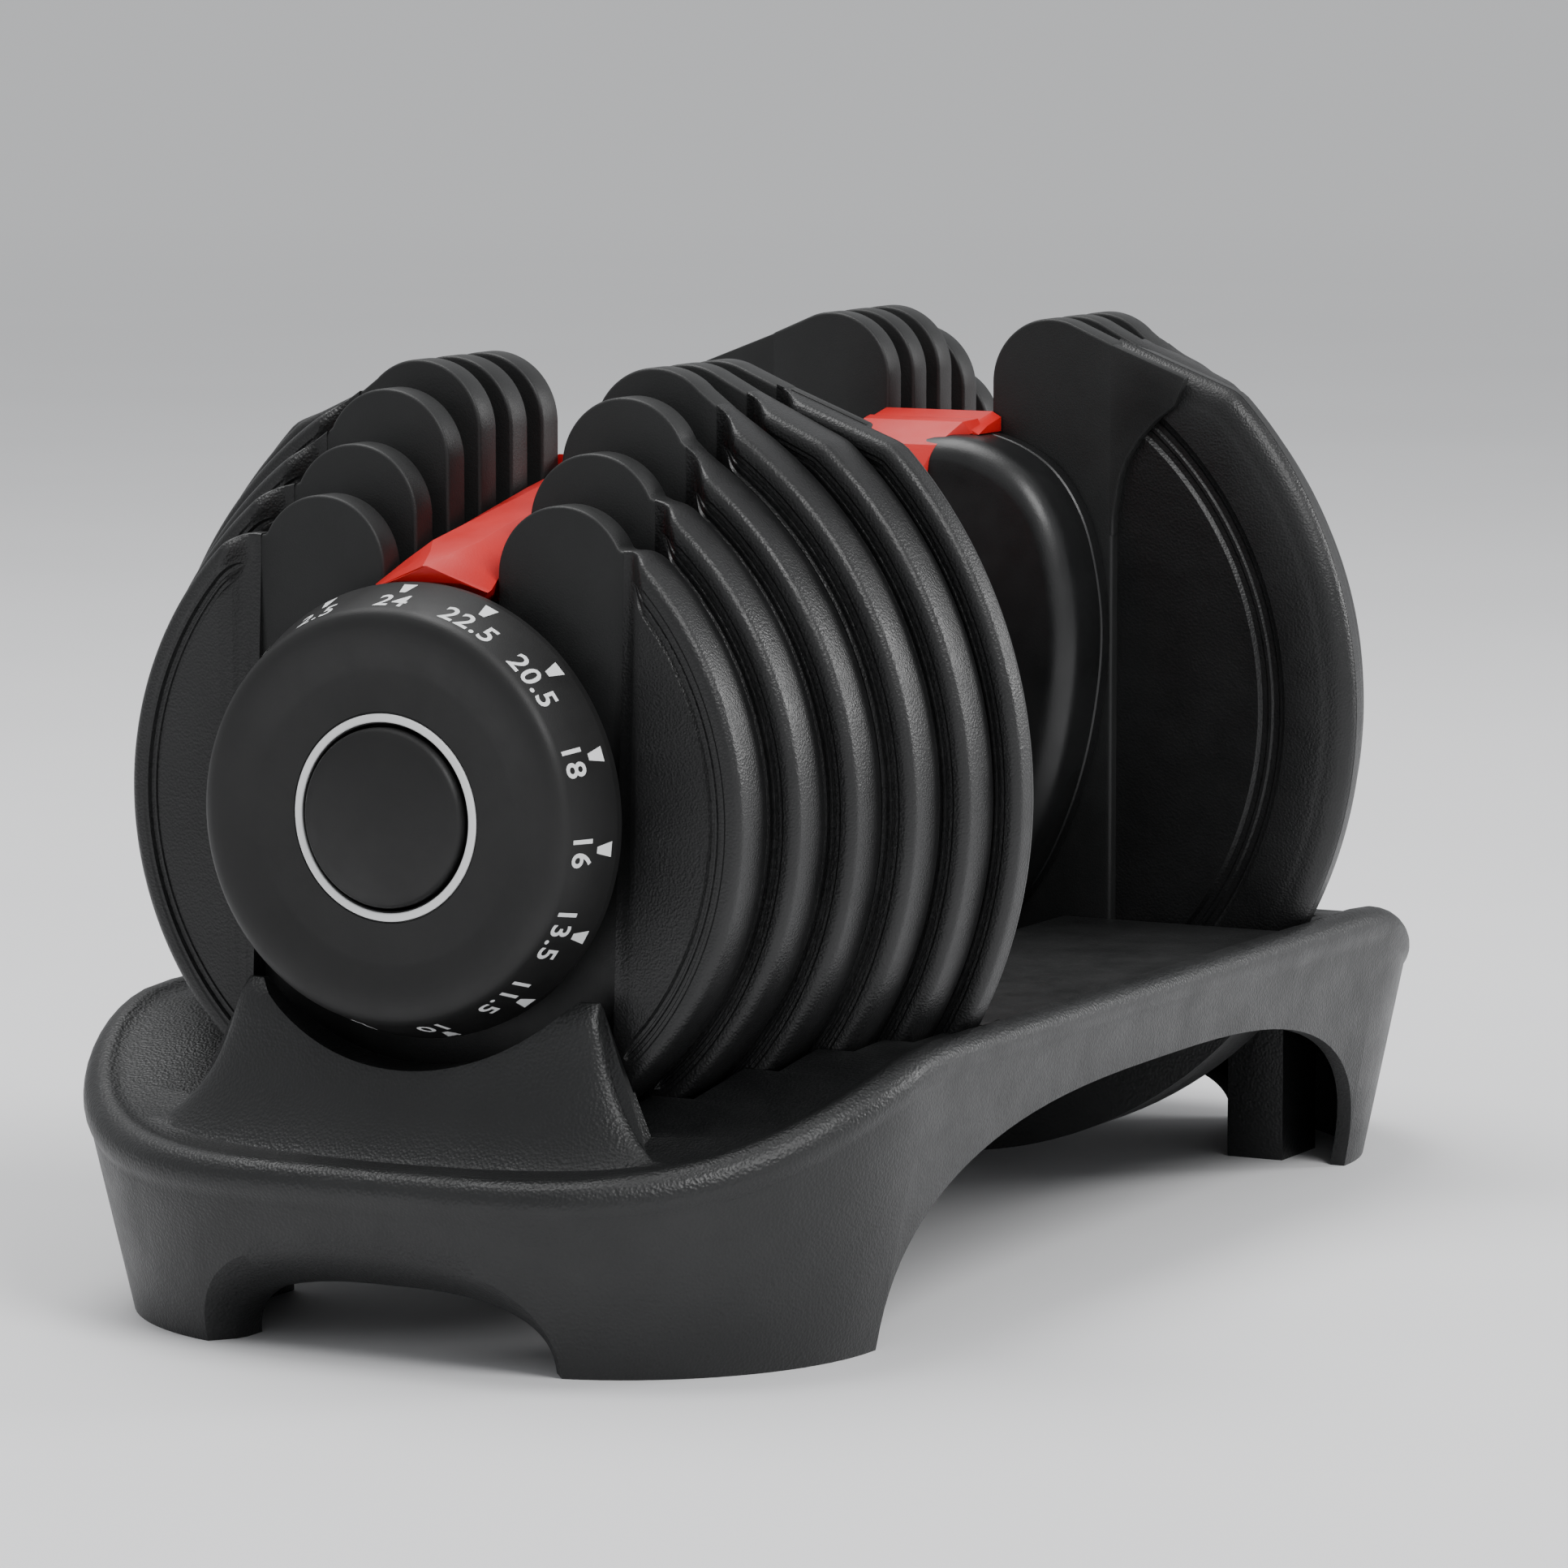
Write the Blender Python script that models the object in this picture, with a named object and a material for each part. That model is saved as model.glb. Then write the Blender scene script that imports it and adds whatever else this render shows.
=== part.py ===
"""Adjustable dumbbell in its cradle tray, as an assembly of separate pieces.

Frame: metres, +Z up, +X along the handle, origin under the middle of the tray.
Both ends are the same: each is drawn once in "end" coordinates (u outward along the
handle, v to the right of someone facing that end, w up from the axle) and turned into place.
"""
import math

import bmesh
import bpy
from mathutils import Vector

MM = 0.001
AXLE_HEIGHT = 126.0          # axle above the surface the tray stands on

# Plates, numbered 1 (outermost) to 6 (next to the guard)
PLATE_RADII = {1: 82.0, 2: 89.0, 3: 96.0, 4: 103.5, 5: 110.0, 6: 116.0}
LOBE_TOPS = {1: 71.0, 2: 82.0, 3: 94.0, 4: 100.0, 5: 100.0, 6: 100.0}
LOBE_END_ANGLES = {1: 25, 2: 25, 3: 25, 4: 45, 5: 60, 6: 70}
RIM_START = {1: 54.0, 2: 54.0, 3: 54.0, 4: 60.0, 5: 72.0, 6: 82.0}
PLATE_START = 88.6           # inner face of plate 6
PLATE_PITCH = 15.1
BAND_THICKNESS = 8.0
PAD_THICKNESS = 14.3
SLOT_HALF = 15.2
LOBE_RADIUS = 16.8
CHORD = 48.5                 # where the recessed middle band meets the raised half-moons
RIM_STEP = 10.0              # degrees between points on a rim
TAB_RADII = (27.0, 31.5)
TAB_HALF_ANGLE = 8.0
TAB_DEPTH = 3.0

# Selector discs
SECTORS = 15                 # of the flange, one for each setting
BORE = 9.4
BOSS_RADIUS = 12.6
FLANGE_RADII = (32.2, 36.5)
FLANGE_START = 8.6           # these three from the plate's inner face
WEB_START = 11.6
WEB_END = 14.4
BOSS_END = -0.4
DOG_DEPTH = 1.2
POCKET_DEPTH = 1.6
DOG_SECTORS = (0, 7)
# The settings, heaviest first, at which each plate is picked up
PICKED_UP = {
    1: (0, 4, 7, 9, 11, 13),
    2: (0, 1, 2, 6, 11, 12),
    3: (0, 1, 4),
    4: (0, 1, 2, 3, 5, 9, 10),
    5: (0, 1, 2, 3),
    6: (0, 1, 2, 3, 4, 5, 6, 7, 8),
}

# Axle, grip and dial
AXLE_RADIUS = 9.0
AXLE_END = 190.5
GRIP_RADIUS = 16.5
GRIP_BULGE = 1.5
DIAL_START = 181.0
DIAL_BACK_RADIUS = 53.0
DIAL_FACE = 200.0
DIAL_SEGMENTS = 24
CAP_RADIUS = 21.2

# Guard
GUARD_FRONT = 62.0
GUARD_SHOULDER = 74.0
GUARD_SPLIT = 82.0
COVER_START = 82.3
COVER_END = 87.8
GUARD_WALL = 3.0
GUARD_OUTLINE = ((0, 70), (18, 70), (34, 63), (44, 50), (49, 32), (50, 14), (47, -8),
                 (41, -28), (32, -46), (20, -59), (8, -65), (0, -65))
GUARD_MIDDLE = 5.0           # of the outline, above the axle
GUARD_SCREWS = ((38.0, 24.0), (-38.0, 24.0))
POST_RADIUS = 4.6
PILOT_RADIUS = 2.0
SINK_RADIUS = 3.7

# Lock
WHEEL = (76.0, 80.0)
WHEEL_TIP = 30.0
WHEEL_VALLEY = 26.6
NOTCHES = 60                 # four for each setting, so that any quarter turn locks
NOTCH_HALF = 2.2             # degrees, at the tips
YOKE = (69.5, 73.5)
STEM_HALF = 5.0
SPRING_RADIUS = 4.0
SPRING_WIRE = 0.8
SPRING_TURNS = 5

# Pointer's T on the guard: how high its top is, further and further out
HEAD_CRESTS = ((75.0, 71.6), (80.0, 73.6), (88.2, 75.4))
HEAD_FOOT = 70.3

# Tray
TRAY_BOTTOM = (203.0, 96.0, 62.0)    # half length, half width, corner radius
TRAY_SHOULDER = (215.4, 107.4, 78.4)
TRAY_LIP = (217.0, 109.0, 80.0)
TRAY_LIP_TOP = (213.0, 105.0, 76.0)
TRAY_DECK_EDGE = (207.0, 99.0, 70.0)
TRAY_BOW = 4.0               # how far each end swells outward
TRAY_WALL = 4.0
RIM_SIDE = -54.5
RIM_END = -79.0
RIM_FALL_FROM = 125.0
CRADLE_GAP = 1.2
CRADLE_WALL = 3.6
DIAL_ARC = 59.5
SADDLE_BACK = 180.2
SADDLE_TOP = 187.0
SADDLE_FOOT = 203.0
SADDLE_HALF = 67.0
SADDLE_UNDER = -92.0
EAR = (47.0, -42.0)
WELL = (59.0, 88.2)           # takes the guard's foot
WELL_HALF = 37.0
WELL_FLOOR = -71.4
WELL_WALL = 4.0
FOOT = (138.0, 160.0)
FOOT_ACROSS = 70.0
FOOT_HALF = 8.0
ARCH_LEAN = 0.2
SIDE_ARCH = ((138.0, 50.0, 89.0, ARCH_LEAN), (138.0, 50.0, 130.0, 0.0))
END_ARCH = ((44.0, 20.0, 188.0, ARCH_LEAN), (44.0, 20.0, 197.0, ARCH_LEAN),
            (50.5, 26.5, 207.5, ARCH_LEAN), (62.0, 38.0, 226.0, ARCH_LEAN))
END_ARCH_FRAME = ((47.0, 23.0, 190.0, ARCH_LEAN), (47.0, 23.0, 197.5, ARCH_LEAN),
                  (55.0, 31.0, 210.0, ARCH_LEAN))


def clear_scene():
    for item in list(bpy.data.objects):
        bpy.data.objects.remove(item, do_unlink=True)


def material(name, color, roughness, metallic=0.0):
    made = bpy.data.materials.new(name)
    made.use_nodes = True
    shader = made.node_tree.nodes["Principled BSDF"]
    shader.inputs["Base Color"].default_value = (*color, 1.0)
    shader.inputs["Roughness"].default_value = roughness
    shader.inputs["Metallic"].default_value = metallic
    return made


def mesh_object(name, verts, faces, finish):
    """A solid from points in millimetres, with its faces turned outward."""
    work = bmesh.new()
    made = [work.verts.new(Vector(point) * MM) for point in verts]
    for face in faces:
        work.faces.new([made[index] for index in face])
    bmesh.ops.remove_doubles(work, verts=work.verts, dist=1e-7)
    bmesh.ops.recalc_face_normals(work, faces=work.faces)
    mesh = bpy.data.meshes.new(name)
    work.to_mesh(mesh)
    work.free()
    mesh.materials.append(finish)
    item = bpy.data.objects.new(name, mesh)
    bpy.context.scene.collection.objects.link(item)
    return item


def smooth(item, degrees=35):
    item.data.shade_smooth()
    item.data.set_sharp_from_angle(angle=math.radians(degrees))


def combine(item, tools, operation):
    """Boolean the tools into the item one after another and keep the plain result."""
    for tool in tools:
        step = item.modifiers.new(operation.lower(), "BOOLEAN")
        step.solver = "EXACT"
        step.operation = operation
        step.object = tool
        graph = bpy.context.evaluated_depsgraph_get()
        result = bpy.data.meshes.new_from_object(item.evaluated_get(graph))
        item.modifiers.clear()
        item.data = result
        bpy.data.objects.remove(tool, do_unlink=True)
    return item


def prism(name, outline, start, end, finish):
    """Extrude a closed outline of (v, w) points along u."""
    count = len(outline)
    verts = [(start, v, w) for v, w in outline] + [(end, v, w) for v, w in outline]
    faces = [tuple(range(count)), tuple(range(count, 2 * count))]
    for index in range(count):
        after = (index + 1) % count
        faces.append((index, after, count + after, count + index))
    return mesh_object(name, verts, faces, finish)


def loft(name, sections, finish):
    """Join rings of equal length and close both ends."""
    count = len(sections[0])
    verts = [point for ring in sections for point in ring]
    last = (len(sections) - 1) * count
    faces = [tuple(range(count)), tuple(range(last, last + count))]
    for level in range(len(sections) - 1):
        base = level * count
        for index in range(count):
            after = (index + 1) % count
            faces.append((base + index, base + after, base + count + after, base + count + index))
    return mesh_object(name, verts, faces, finish)


def turned(name, profile, finish, segments=36):
    """Turn a closed profile of (u, radius) points about the axle."""
    verts = []
    for step in range(segments):
        angle = 2 * math.pi * step / segments
        for u, radius in profile:
            verts.append((u, radius * math.cos(angle), radius * math.sin(angle)))
    count = len(profile)
    faces = []
    for step in range(segments):
        here = step * count
        there = (step + 1) % segments * count
        for index in range(count):
            after = (index + 1) % count
            if profile[index][1] > 0 or profile[after][1] > 0:
                faces.append((here + index, here + after, there + after, there + index))
    return mesh_object(name, verts, faces, finish)


def place(item, side):
    """Turn a piece drawn at the +X end into place and lift it to the axle's height."""
    if side < 0:
        for vertex in item.data.vertices:
            vertex.co = Vector((-vertex.co.x, -vertex.co.y, vertex.co.z))
    item.location.z += AXLE_HEIGHT * MM
    return item


def arc(centre, radius, first, last, steps):
    points = []
    for step in range(steps + 1):
        angle = math.radians(first + (last - first) * step / steps)
        points.append((centre[0] + radius * math.cos(angle), centre[1] + radius * math.sin(angle)))
    return points


def plate_start(number):
    return PLATE_START + (6 - number) * PLATE_PITCH


def half_outline(number):
    """The right half of a plate: the band's part and the half-moon's part of its edge."""
    radius = PLATE_RADII[number]
    lobe = (SLOT_HALF + LOBE_RADIUS, LOBE_TOPS[number] - LOBE_RADIUS)
    slot = arc((0, 0), SLOT_HALF, -90, 0, 4)
    lobe_edge = arc(lobe, LOBE_RADIUS, 180, LOBE_END_ANGLES[number], 7)
    end = lobe_edge[-1]
    rim_start = (RIM_START[number], math.sqrt(radius ** 2 - RIM_START[number] ** 2))
    share = (CHORD - end[0]) / (rim_start[0] - end[0])
    chord_top = (CHORD, end[1] + share * (rim_start[1] - end[1]))
    chord_bottom = (CHORD, -math.sqrt(radius ** 2 - CHORD ** 2))
    first = math.degrees(math.atan2(rim_start[1], rim_start[0]))
    last = math.degrees(math.atan2(chord_bottom[1], chord_bottom[0]))
    pad = [chord_top] + arc((0, 0), radius, first, last, round((first - last) / RIM_STEP))
    foot = arc((0, 0), radius, last, -90, 3)
    return slot + lobe_edge, pad, foot[1:]


def plate_mesh(number, name, finish):
    """Band with its slot, and a raised half-moon each side, as one closed body."""
    upper, pad, foot = half_outline(number)
    right = upper + pad + foot
    left = [(-v, w) for v, w in reversed(right[:-1])][:-1]
    outline = right + left
    count = len(outline)
    pad_first = len(upper)
    pad_last = len(upper) + len(pad) - 1
    mirror_first = 2 * (len(right) - 1) - pad_last
    mirror_last = 2 * (len(right) - 1) - pad_first
    inner = plate_start(number)
    levels = (inner, inner + BAND_THICKNESS, inner + PAD_THICKNESS)
    verts = [(level, v, w) for level in levels for v, w in outline]
    faces = [tuple(range(count))]
    for index in range(count):
        after = (index + 1) % count
        faces.append((index, after, count + after, count + index))
    band = []
    for index in range(count):
        if pad_first < index < pad_last or mirror_first < index < mirror_last:
            continue
        band.append(count + index)
    faces.append(tuple(band))
    for first, last in ((pad_first, pad_last), (mirror_first, mirror_last)):
        ring = list(range(first, last + 1))
        faces.append(tuple(2 * count + index for index in ring))
        for index, after in zip(ring, ring[1:] + ring[:1]):
            faces.append((count + index, count + after, 2 * count + after, 2 * count + index))
    return mesh_object(name, verts, faces, finish)


def plate(side, number, finish):
    end = "front" if side < 0 else "rear"
    item = plate_mesh(number, f"{end}_plate_{number}", finish)
    face = plate_start(number) + BAND_THICKNESS
    inner, outer = TAB_RADII
    edge = arc((0, 0), inner, -90 - TAB_HALF_ANGLE, -90 + TAB_HALF_ANGLE, 2)
    edge += arc((0, 0), outer, -90 + TAB_HALF_ANGLE, -90 - TAB_HALF_ANGLE, 2)
    tab = prism("tab", edge, face - 1.0, face + TAB_DEPTH, finish)
    combine(item, [tab], "UNION")
    return place(item, side)


def sector_ring(radius, u):
    """One ring of points, one at each sector's start; setting 0 is opposite a sector's middle."""
    points = []
    for step in range(SECTORS):
        angle = 2 * math.pi * step / SECTORS
        points.append((u, radius * math.sin(angle), radius * math.cos(angle)))
    return points


def disc_mesh(name, start, picked, finish):
    """A selector disc: web, boss towards the grip, and a flange only where it picks up."""
    work = bmesh.new()

    def ring(radius, u):
        return [work.verts.new(Vector(point) * MM) for point in sector_ring(radius, u)]

    def strip(first, second):
        made = []
        for step in range(SECTORS):
            after = (step + 1) % SECTORS
            corners = (first[step], first[after], second[after], second[step])
            made.append(work.faces.new(corners))
        return made

    web_in = start + WEB_START
    web_out = start + WEB_END
    inner = [ring(radius, web_in) for radius in (BORE, BOSS_RADIUS, *FLANGE_RADII)]
    outer = [ring(radius, web_out) for radius in (BORE, FLANGE_RADII[1])]
    boss_faces = strip(inner[0], inner[1])
    strip(inner[1], inner[2])
    flange_faces = strip(inner[2], inner[3])
    strip(outer[0], outer[1])
    strip(inner[3], outer[1])
    strip(inner[0], outer[0])
    bmesh.ops.recalc_face_normals(work, faces=work.faces)
    push(work, boss_faces, start + BOSS_END - web_in)
    push(work, [flange_faces[step] for step in flange_sectors(picked)], FLANGE_START - WEB_START)
    push(work, [boss_faces[step] for step in DOG_SECTORS], -DOG_DEPTH)
    bmesh.ops.recalc_face_normals(work, faces=work.faces)
    mesh = bpy.data.meshes.new(name)
    work.to_mesh(mesh)
    work.free()
    mesh.materials.append(finish)
    item = bpy.data.objects.new(name, mesh)
    bpy.context.scene.collection.objects.link(item)
    return item


def push(work, faces, distance):
    """Extrude faces along u; the faces handed in stay the moved ones."""
    if not faces:
        return
    result = bmesh.ops.extrude_face_region(work, geom=faces)
    moved = [item for item in result["geom"] if isinstance(item, bmesh.types.BMVert)]
    bmesh.ops.translate(work, verts=moved, vec=(distance * MM, 0, 0))
    new_faces = [item for item in result["geom"] if isinstance(item, bmesh.types.BMFace)]
    ordered = sorted(new_faces, key=lambda face: nearest(face, faces))
    bmesh.ops.delete(work, geom=faces, context="FACES")
    faces[:] = ordered


def nearest(face, faces):
    """Which of the old faces a new face came from, by its place across the axle."""
    centre = face.calc_center_median()
    gaps = [(old.calc_center_median().yz - centre.yz).length for old in faces]
    return gaps.index(min(gaps))


def flange_sectors(picked):
    """Sectors of the flange that carry the plate's tab at the picked settings.

    A setting's number is at its own angle clockwise from the top, so the part of the flange
    that is under the tab then is half a turn further on.
    """
    return [(setting + SECTORS // 2) % SECTORS for setting in picked]


def dog_pockets(face, finish):
    """Cutters for the pockets that the next disc's dogs drive in, wider than the dogs."""
    pockets = []
    for step in DOG_SECTORS:
        middle = 90 - 360 * (step + 0.5) / SECTORS
        edge = arc((0, 0), BORE - 1.0, middle - 18, middle + 18, 2)
        edge += arc((0, 0), BOSS_RADIUS + 1.0, middle + 18, middle - 18, 2)
        pockets.append(prism("pocket", edge, face - POCKET_DEPTH, face + 5.0, finish))
    return pockets


def selector_disc(side, number, finish):
    end = "front" if side < 0 else "rear"
    name = f"{end}_selector_disc_{number}"
    start = plate_start(number)
    item = disc_mesh(name, start, PICKED_UP[number], finish)
    combine(item, dog_pockets(start + WEB_END, finish), "DIFFERENCE")
    return place(item, side)


def dial(side, finish):
    """Turned dial: coned number band, rounded face edge, shallow dish, pocket for its cap."""
    name = "front_dial" if side < 0 else "rear_dial"
    back = DIAL_START
    hub_start = plate_start(1) + WEB_END + 0.3
    profile = [
        (186.5, BOSS_RADIUS), (hub_start, BOSS_RADIUS), (hub_start, BORE), (190.2, BORE),
        (190.2, 21.6), (198.9, 21.6), (198.9, 36.0), (DIAL_FACE, 40.0), (DIAL_FACE, 45.0),
        (198.0, 48.2), (184.0, DIAL_BACK_RADIUS), (back, DIAL_BACK_RADIUS), (back, 49.5),
        (195.0, 44.0), (186.5, 41.0),
    ]
    item = turned(name, profile, finish, DIAL_SEGMENTS)
    smooth(item)
    return place(item, side)


def dial_cap(side, finish):
    name = "front_dial_cap" if side < 0 else "rear_dial_cap"
    profile = [(198.0, 0.0), (198.0, 19.0), (195.0, 19.0), (195.0, CAP_RADIUS), (199.6, CAP_RADIUS),
               (201.4, 16.0), (202.5, 0.0)]
    item = turned(name, profile, finish, 24)
    smooth(item)
    return place(item, side)


def retaining_washer(side, finish):
    name = "front_dial_washer" if side < 0 else "rear_dial_washer"
    profile = [(190.8, 4.3), (192.6, 4.3), (192.6, 15.0), (190.8, 15.0)]
    return place(turned(name, profile, finish, 20), side)


def retaining_screw(side, finish):
    name = "front_dial_screw" if side < 0 else "rear_dial_screw"
    profile = [(172.5, 0.0), (172.5, 3.2), (173.3, 3.7), (192.9, 3.7), (192.9, 7.2),
               (196.0, 7.2), (196.8, 6.0), (196.8, 0.0)]
    item = turned(name, profile, finish, 16)
    hexagon = arc((0, 0), 3.4, 0, 300, 5)
    combine(item, [prism("socket", hexagon, 193.6, 198.0, finish)], "DIFFERENCE")
    return place(item, side)


def axle(finish):
    """Solid bar with a tapped hole in each end."""
    profile = [(-AXLE_END, 4.0), (-AXLE_END, 8.2), (-AXLE_END + 0.8, AXLE_RADIUS),
               (AXLE_END - 0.8, AXLE_RADIUS), (AXLE_END, 8.2), (AXLE_END, 4.0),
               (170.0, 4.0), (168.0, 0.0), (-168.0, 0.0), (-170.0, 4.0)]
    item = turned("axle", profile, finish, 24)
    smooth(item)
    return place(item, 1)


def grip(finish):
    """Rubber sleeve on the axle, a little fuller in the middle."""
    end = GUARD_FRONT - 0.4
    outer = []
    for step in range(9):
        u = end - 2 * end * step / 8
        swell = GRIP_BULGE * math.cos(math.pi * u / (2 * end))
        outer.append((u, GRIP_RADIUS + swell))
    profile = [(-end, AXLE_RADIUS + 0.3), (end, AXLE_RADIUS + 0.3)] + outer
    item = turned("grip_sleeve", profile, finish, 24)
    smooth(item)
    return place(item, 1)


def guard_ring(u, grow=0.0):
    """The guard's shield outline as a ring at u, moved in or out by grow."""
    outline = list(GUARD_OUTLINE) + [(-v, w) for v, w in reversed(GUARD_OUTLINE[1:-1])]
    points = []
    for v, w in outline:
        away = Vector((v, w - GUARD_MIDDLE))
        away.length += grow
        points.append((u, away.x, GUARD_MIDDLE + away.y))
    return points


def guard_shell(side, finish):
    """Domed housing of the lock, open towards the plates."""
    name = "front_guard_shell" if side < 0 else "rear_guard_shell"
    body = loft(name, [guard_ring(GUARD_FRONT, -12.0), guard_ring(66.5, -4.5),
                       guard_ring(GUARD_SHOULDER), guard_ring(GUARD_SPLIT)], finish)
    hollow = loft("hollow", [guard_ring(GUARD_FRONT + GUARD_WALL, -14.5), guard_ring(68.5, -7.6),
                             guard_ring(GUARD_SHOULDER, -GUARD_WALL), guard_ring(90.0, -GUARD_WALL)],
                  finish)
    combine(body, [hollow], "DIFFERENCE")
    for v, w in GUARD_SCREWS:
        post = prism("post", arc((v, w), POST_RADIUS, 0, 330, 11), 64.5, GUARD_SPLIT, finish)
        combine(body, [post], "UNION")
        pilot = prism("pilot", arc((v, w), PILOT_RADIUS, 0, 315, 7), 72.0, 90.0, finish)
        combine(body, [pilot], "DIFFERENCE")
    bore = prism("bore", arc((0, 0), AXLE_RADIUS + 0.4, 0, 345, 23), 50.0, 70.0, finish)
    stem = box("stem", (YOKE[0] - 0.4, YOKE[1] + 0.4), (-STEM_HALF - 0.4, STEM_HALF + 0.4),
               (-80.0, -50.0), finish)
    combine(body, [bore, stem], "DIFFERENCE")
    smooth(body, 50)
    return place(body, side)


def guard_cover(side, finish):
    """Plate that closes the lock housing, with a bore for the star wheel's boss."""
    name = "front_guard_cover" if side < 0 else "rear_guard_cover"
    body = loft(name, [guard_ring(COVER_START), guard_ring(COVER_END - 1.0),
                       guard_ring(COVER_END, -1.0)], finish)
    cuts = [prism("bore", arc((0, 0), BOSS_RADIUS + 0.5, 0, 345, 23), 80.0, 90.0, finish)]
    for v, w in GUARD_SCREWS:
        cuts.append(prism("hole", arc((v, w), PILOT_RADIUS, 0, 315, 7), 80.0, 90.0, finish))
        cuts.append(prism("sink", arc((v, w), SINK_RADIUS, 0, 330, 11), 85.0, 90.0, finish))
    combine(body, cuts, "DIFFERENCE")
    smooth(body, 50)
    return place(body, side)


def guard_screw(side, index, finish):
    end = "front" if side < 0 else "rear"
    v, w = GUARD_SCREWS[index]
    profile = [(73.0, 0.0), (74.0, 1.6), (85.3, 1.6), (85.3, 3.3), (87.0, 3.3), (87.5, 2.6),
               (87.5, 0.0)]
    item = turned(f"{end}_guard_screw_{index + 1}", profile, finish, 12)
    cross = [(0.45, 2.2), (-0.45, 2.2), (-0.45, 0.45), (-2.2, 0.45), (-2.2, -0.45), (-0.45, -0.45),
             (-0.45, -2.2), (0.45, -2.2), (0.45, -0.45), (2.2, -0.45), (2.2, 0.45), (0.45, 0.45)]
    combine(item, [prism("cross", cross, 86.3, 88.5, finish)], "DIFFERENCE")
    for vertex in item.data.vertices:
        vertex.co += Vector((0, v, w)) * MM
    return place(item, side)


def box(name, u, v, w, finish):
    outline = [(v[0], w[0]), (v[1], w[0]), (v[1], w[1]), (v[0], w[1])]
    return prism(name, outline, u[0], u[1], finish)


def star_wheel(side, finish):
    """Index wheel with notches that the lock's tooth drops into, and a boss that drives the discs."""
    name = "front_star_wheel" if side < 0 else "rear_star_wheel"
    outline = []
    pitch = 360 / NOTCHES
    points = ((WHEEL_VALLEY, 0.0), (WHEEL_TIP, NOTCH_HALF), (WHEEL_TIP, pitch - NOTCH_HALF))
    for step in range(NOTCHES):
        for radius, offset in points:
            turn = math.radians(pitch * step + offset)
            outline.append((radius * math.sin(turn), radius * math.cos(turn)))
    item = prism(name, outline, WHEEL[0], WHEEL[1], finish)
    boss_end = PLATE_START + BOSS_END - 0.3
    boss = prism("boss", arc((0, 0), BOSS_RADIUS, 0, 345, 23), WHEEL[0] + 1.0, boss_end, finish)
    combine(item, [boss], "UNION")
    bore = prism("bore", arc((0, 0), BORE, 0, 345, 23), 70.0, 95.0, finish)
    combine(item, [bore], "DIFFERENCE")
    combine(item, dog_pockets(boss_end, finish), "DIFFERENCE")
    return place(item, side)


def lock_yoke(side, finish):
    """Frame round the axle: the tooth above drops into the wheel, the stem below lifts it."""
    name = "front_lock_yoke" if side < 0 else "rear_lock_yoke"
    frame = [(-20, -36), (-STEM_HALF, -36), (-STEM_HALF, -71), (STEM_HALF, -71), (STEM_HALF, -36),
             (20, -36), (20, 44), (-20, 44)]
    item = prism(name, frame, YOKE[0], YOKE[1], finish)
    window = box("window", (60.0, 90.0), (-14.0, 14.0), (-29.0, 36.5), finish)
    combine(item, [window], "DIFFERENCE")
    tooth = [(-6, 43.9), (-6, 37.5), (-1.1, 34.8), (-0.2, 31.4), (0.2, 31.4), (1.1, 34.8),
             (6, 37.5), (6, 43.9)]
    combine(item, [prism("tooth", tooth, YOKE[0] + 0.5, WHEEL[1] - 0.5, finish)], "UNION")
    return place(item, side)


def yoke_spring(side, finish):
    """Coil between the yoke's top bar and the roof of the guard."""
    name = "front_yoke_spring" if side < 0 else "rear_yoke_spring"
    low = 44.0 + 0.4 + SPRING_WIRE
    high = 70.0 - GUARD_WALL - 0.5 - SPRING_WIRE
    steps = SPRING_TURNS * 8
    middle = (GUARD_SHOULDER + GUARD_SPLIT) / 2 - 2.0
    rings = []
    for step in range(steps + 1):
        turn = 2 * math.pi * step / 8
        out = Vector((math.cos(turn), math.sin(turn), 0.0))
        centre = out * SPRING_RADIUS
        centre += Vector((middle, 0.0, low + (high - low) * step / steps))
        ring = []
        for part in range(4):
            angle = 2 * math.pi * part / 4
            point = centre + SPRING_WIRE * (math.cos(angle) * out + Vector((0, 0, math.sin(angle))))
            ring.append(tuple(point))
        rings.append(ring)
    item = loft(name, rings, finish)
    smooth(item, 60)
    return place(item, side)


def index_spring(side, finish):
    """Leaf that rests against the wheel's notches and makes the dial click."""
    name = "front_index_spring" if side < 0 else "rear_index_spring"
    outline = [(-20, -43.5), (-6, -40), (0, -30.8), (6, -40), (20, -43.5), (20, -44.7),
               (6.3, -41.3), (0, -32.4), (-6.3, -41.3), (-20, -44.7)]
    return place(prism(name, outline, WHEEL[0] + 0.4, WHEEL[1] - 0.4, finish), side)


def bridge(side, finish):
    """Red pointer: hood over the dial, beam through the slots, T and tongue on the guard."""
    name = "front_pointer_bridge" if side < 0 else "rear_pointer_bridge"
    beam = loft(name, [
        beam_section(84.0, 12.5, 74.0, 73.0, 70.6),
        beam_section(88.0, 12.5, 73.8, 72.7, 70.6),
        beam_section(88.4, 12.5, 73.7, 72.6, 56.0),
        beam_section(110.0, 12.0, 71.0, 69.0, 52.0),
        beam_section(150.0, 12.0, 64.0, 60.5, 47.5),
        beam_section(165.0, 13.5, 61.0, 56.0, 47.5),
        beam_section(179.4, 15.8, 56.5, 51.0, 50.0),
    ], finish)
    head = loft("head", [head_section(u, crest) for u, crest in HEAD_CRESTS], finish)
    combine(beam, [head, tongue(finish)], "UNION")
    return place(beam, side)


def beam_section(u, half, ridge, edge, bottom):
    return [(u, -half, edge), (u, -half * 0.8, bottom), (u, half * 0.8, bottom), (u, half, edge),
            (u, 0.0, ridge)]


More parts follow.
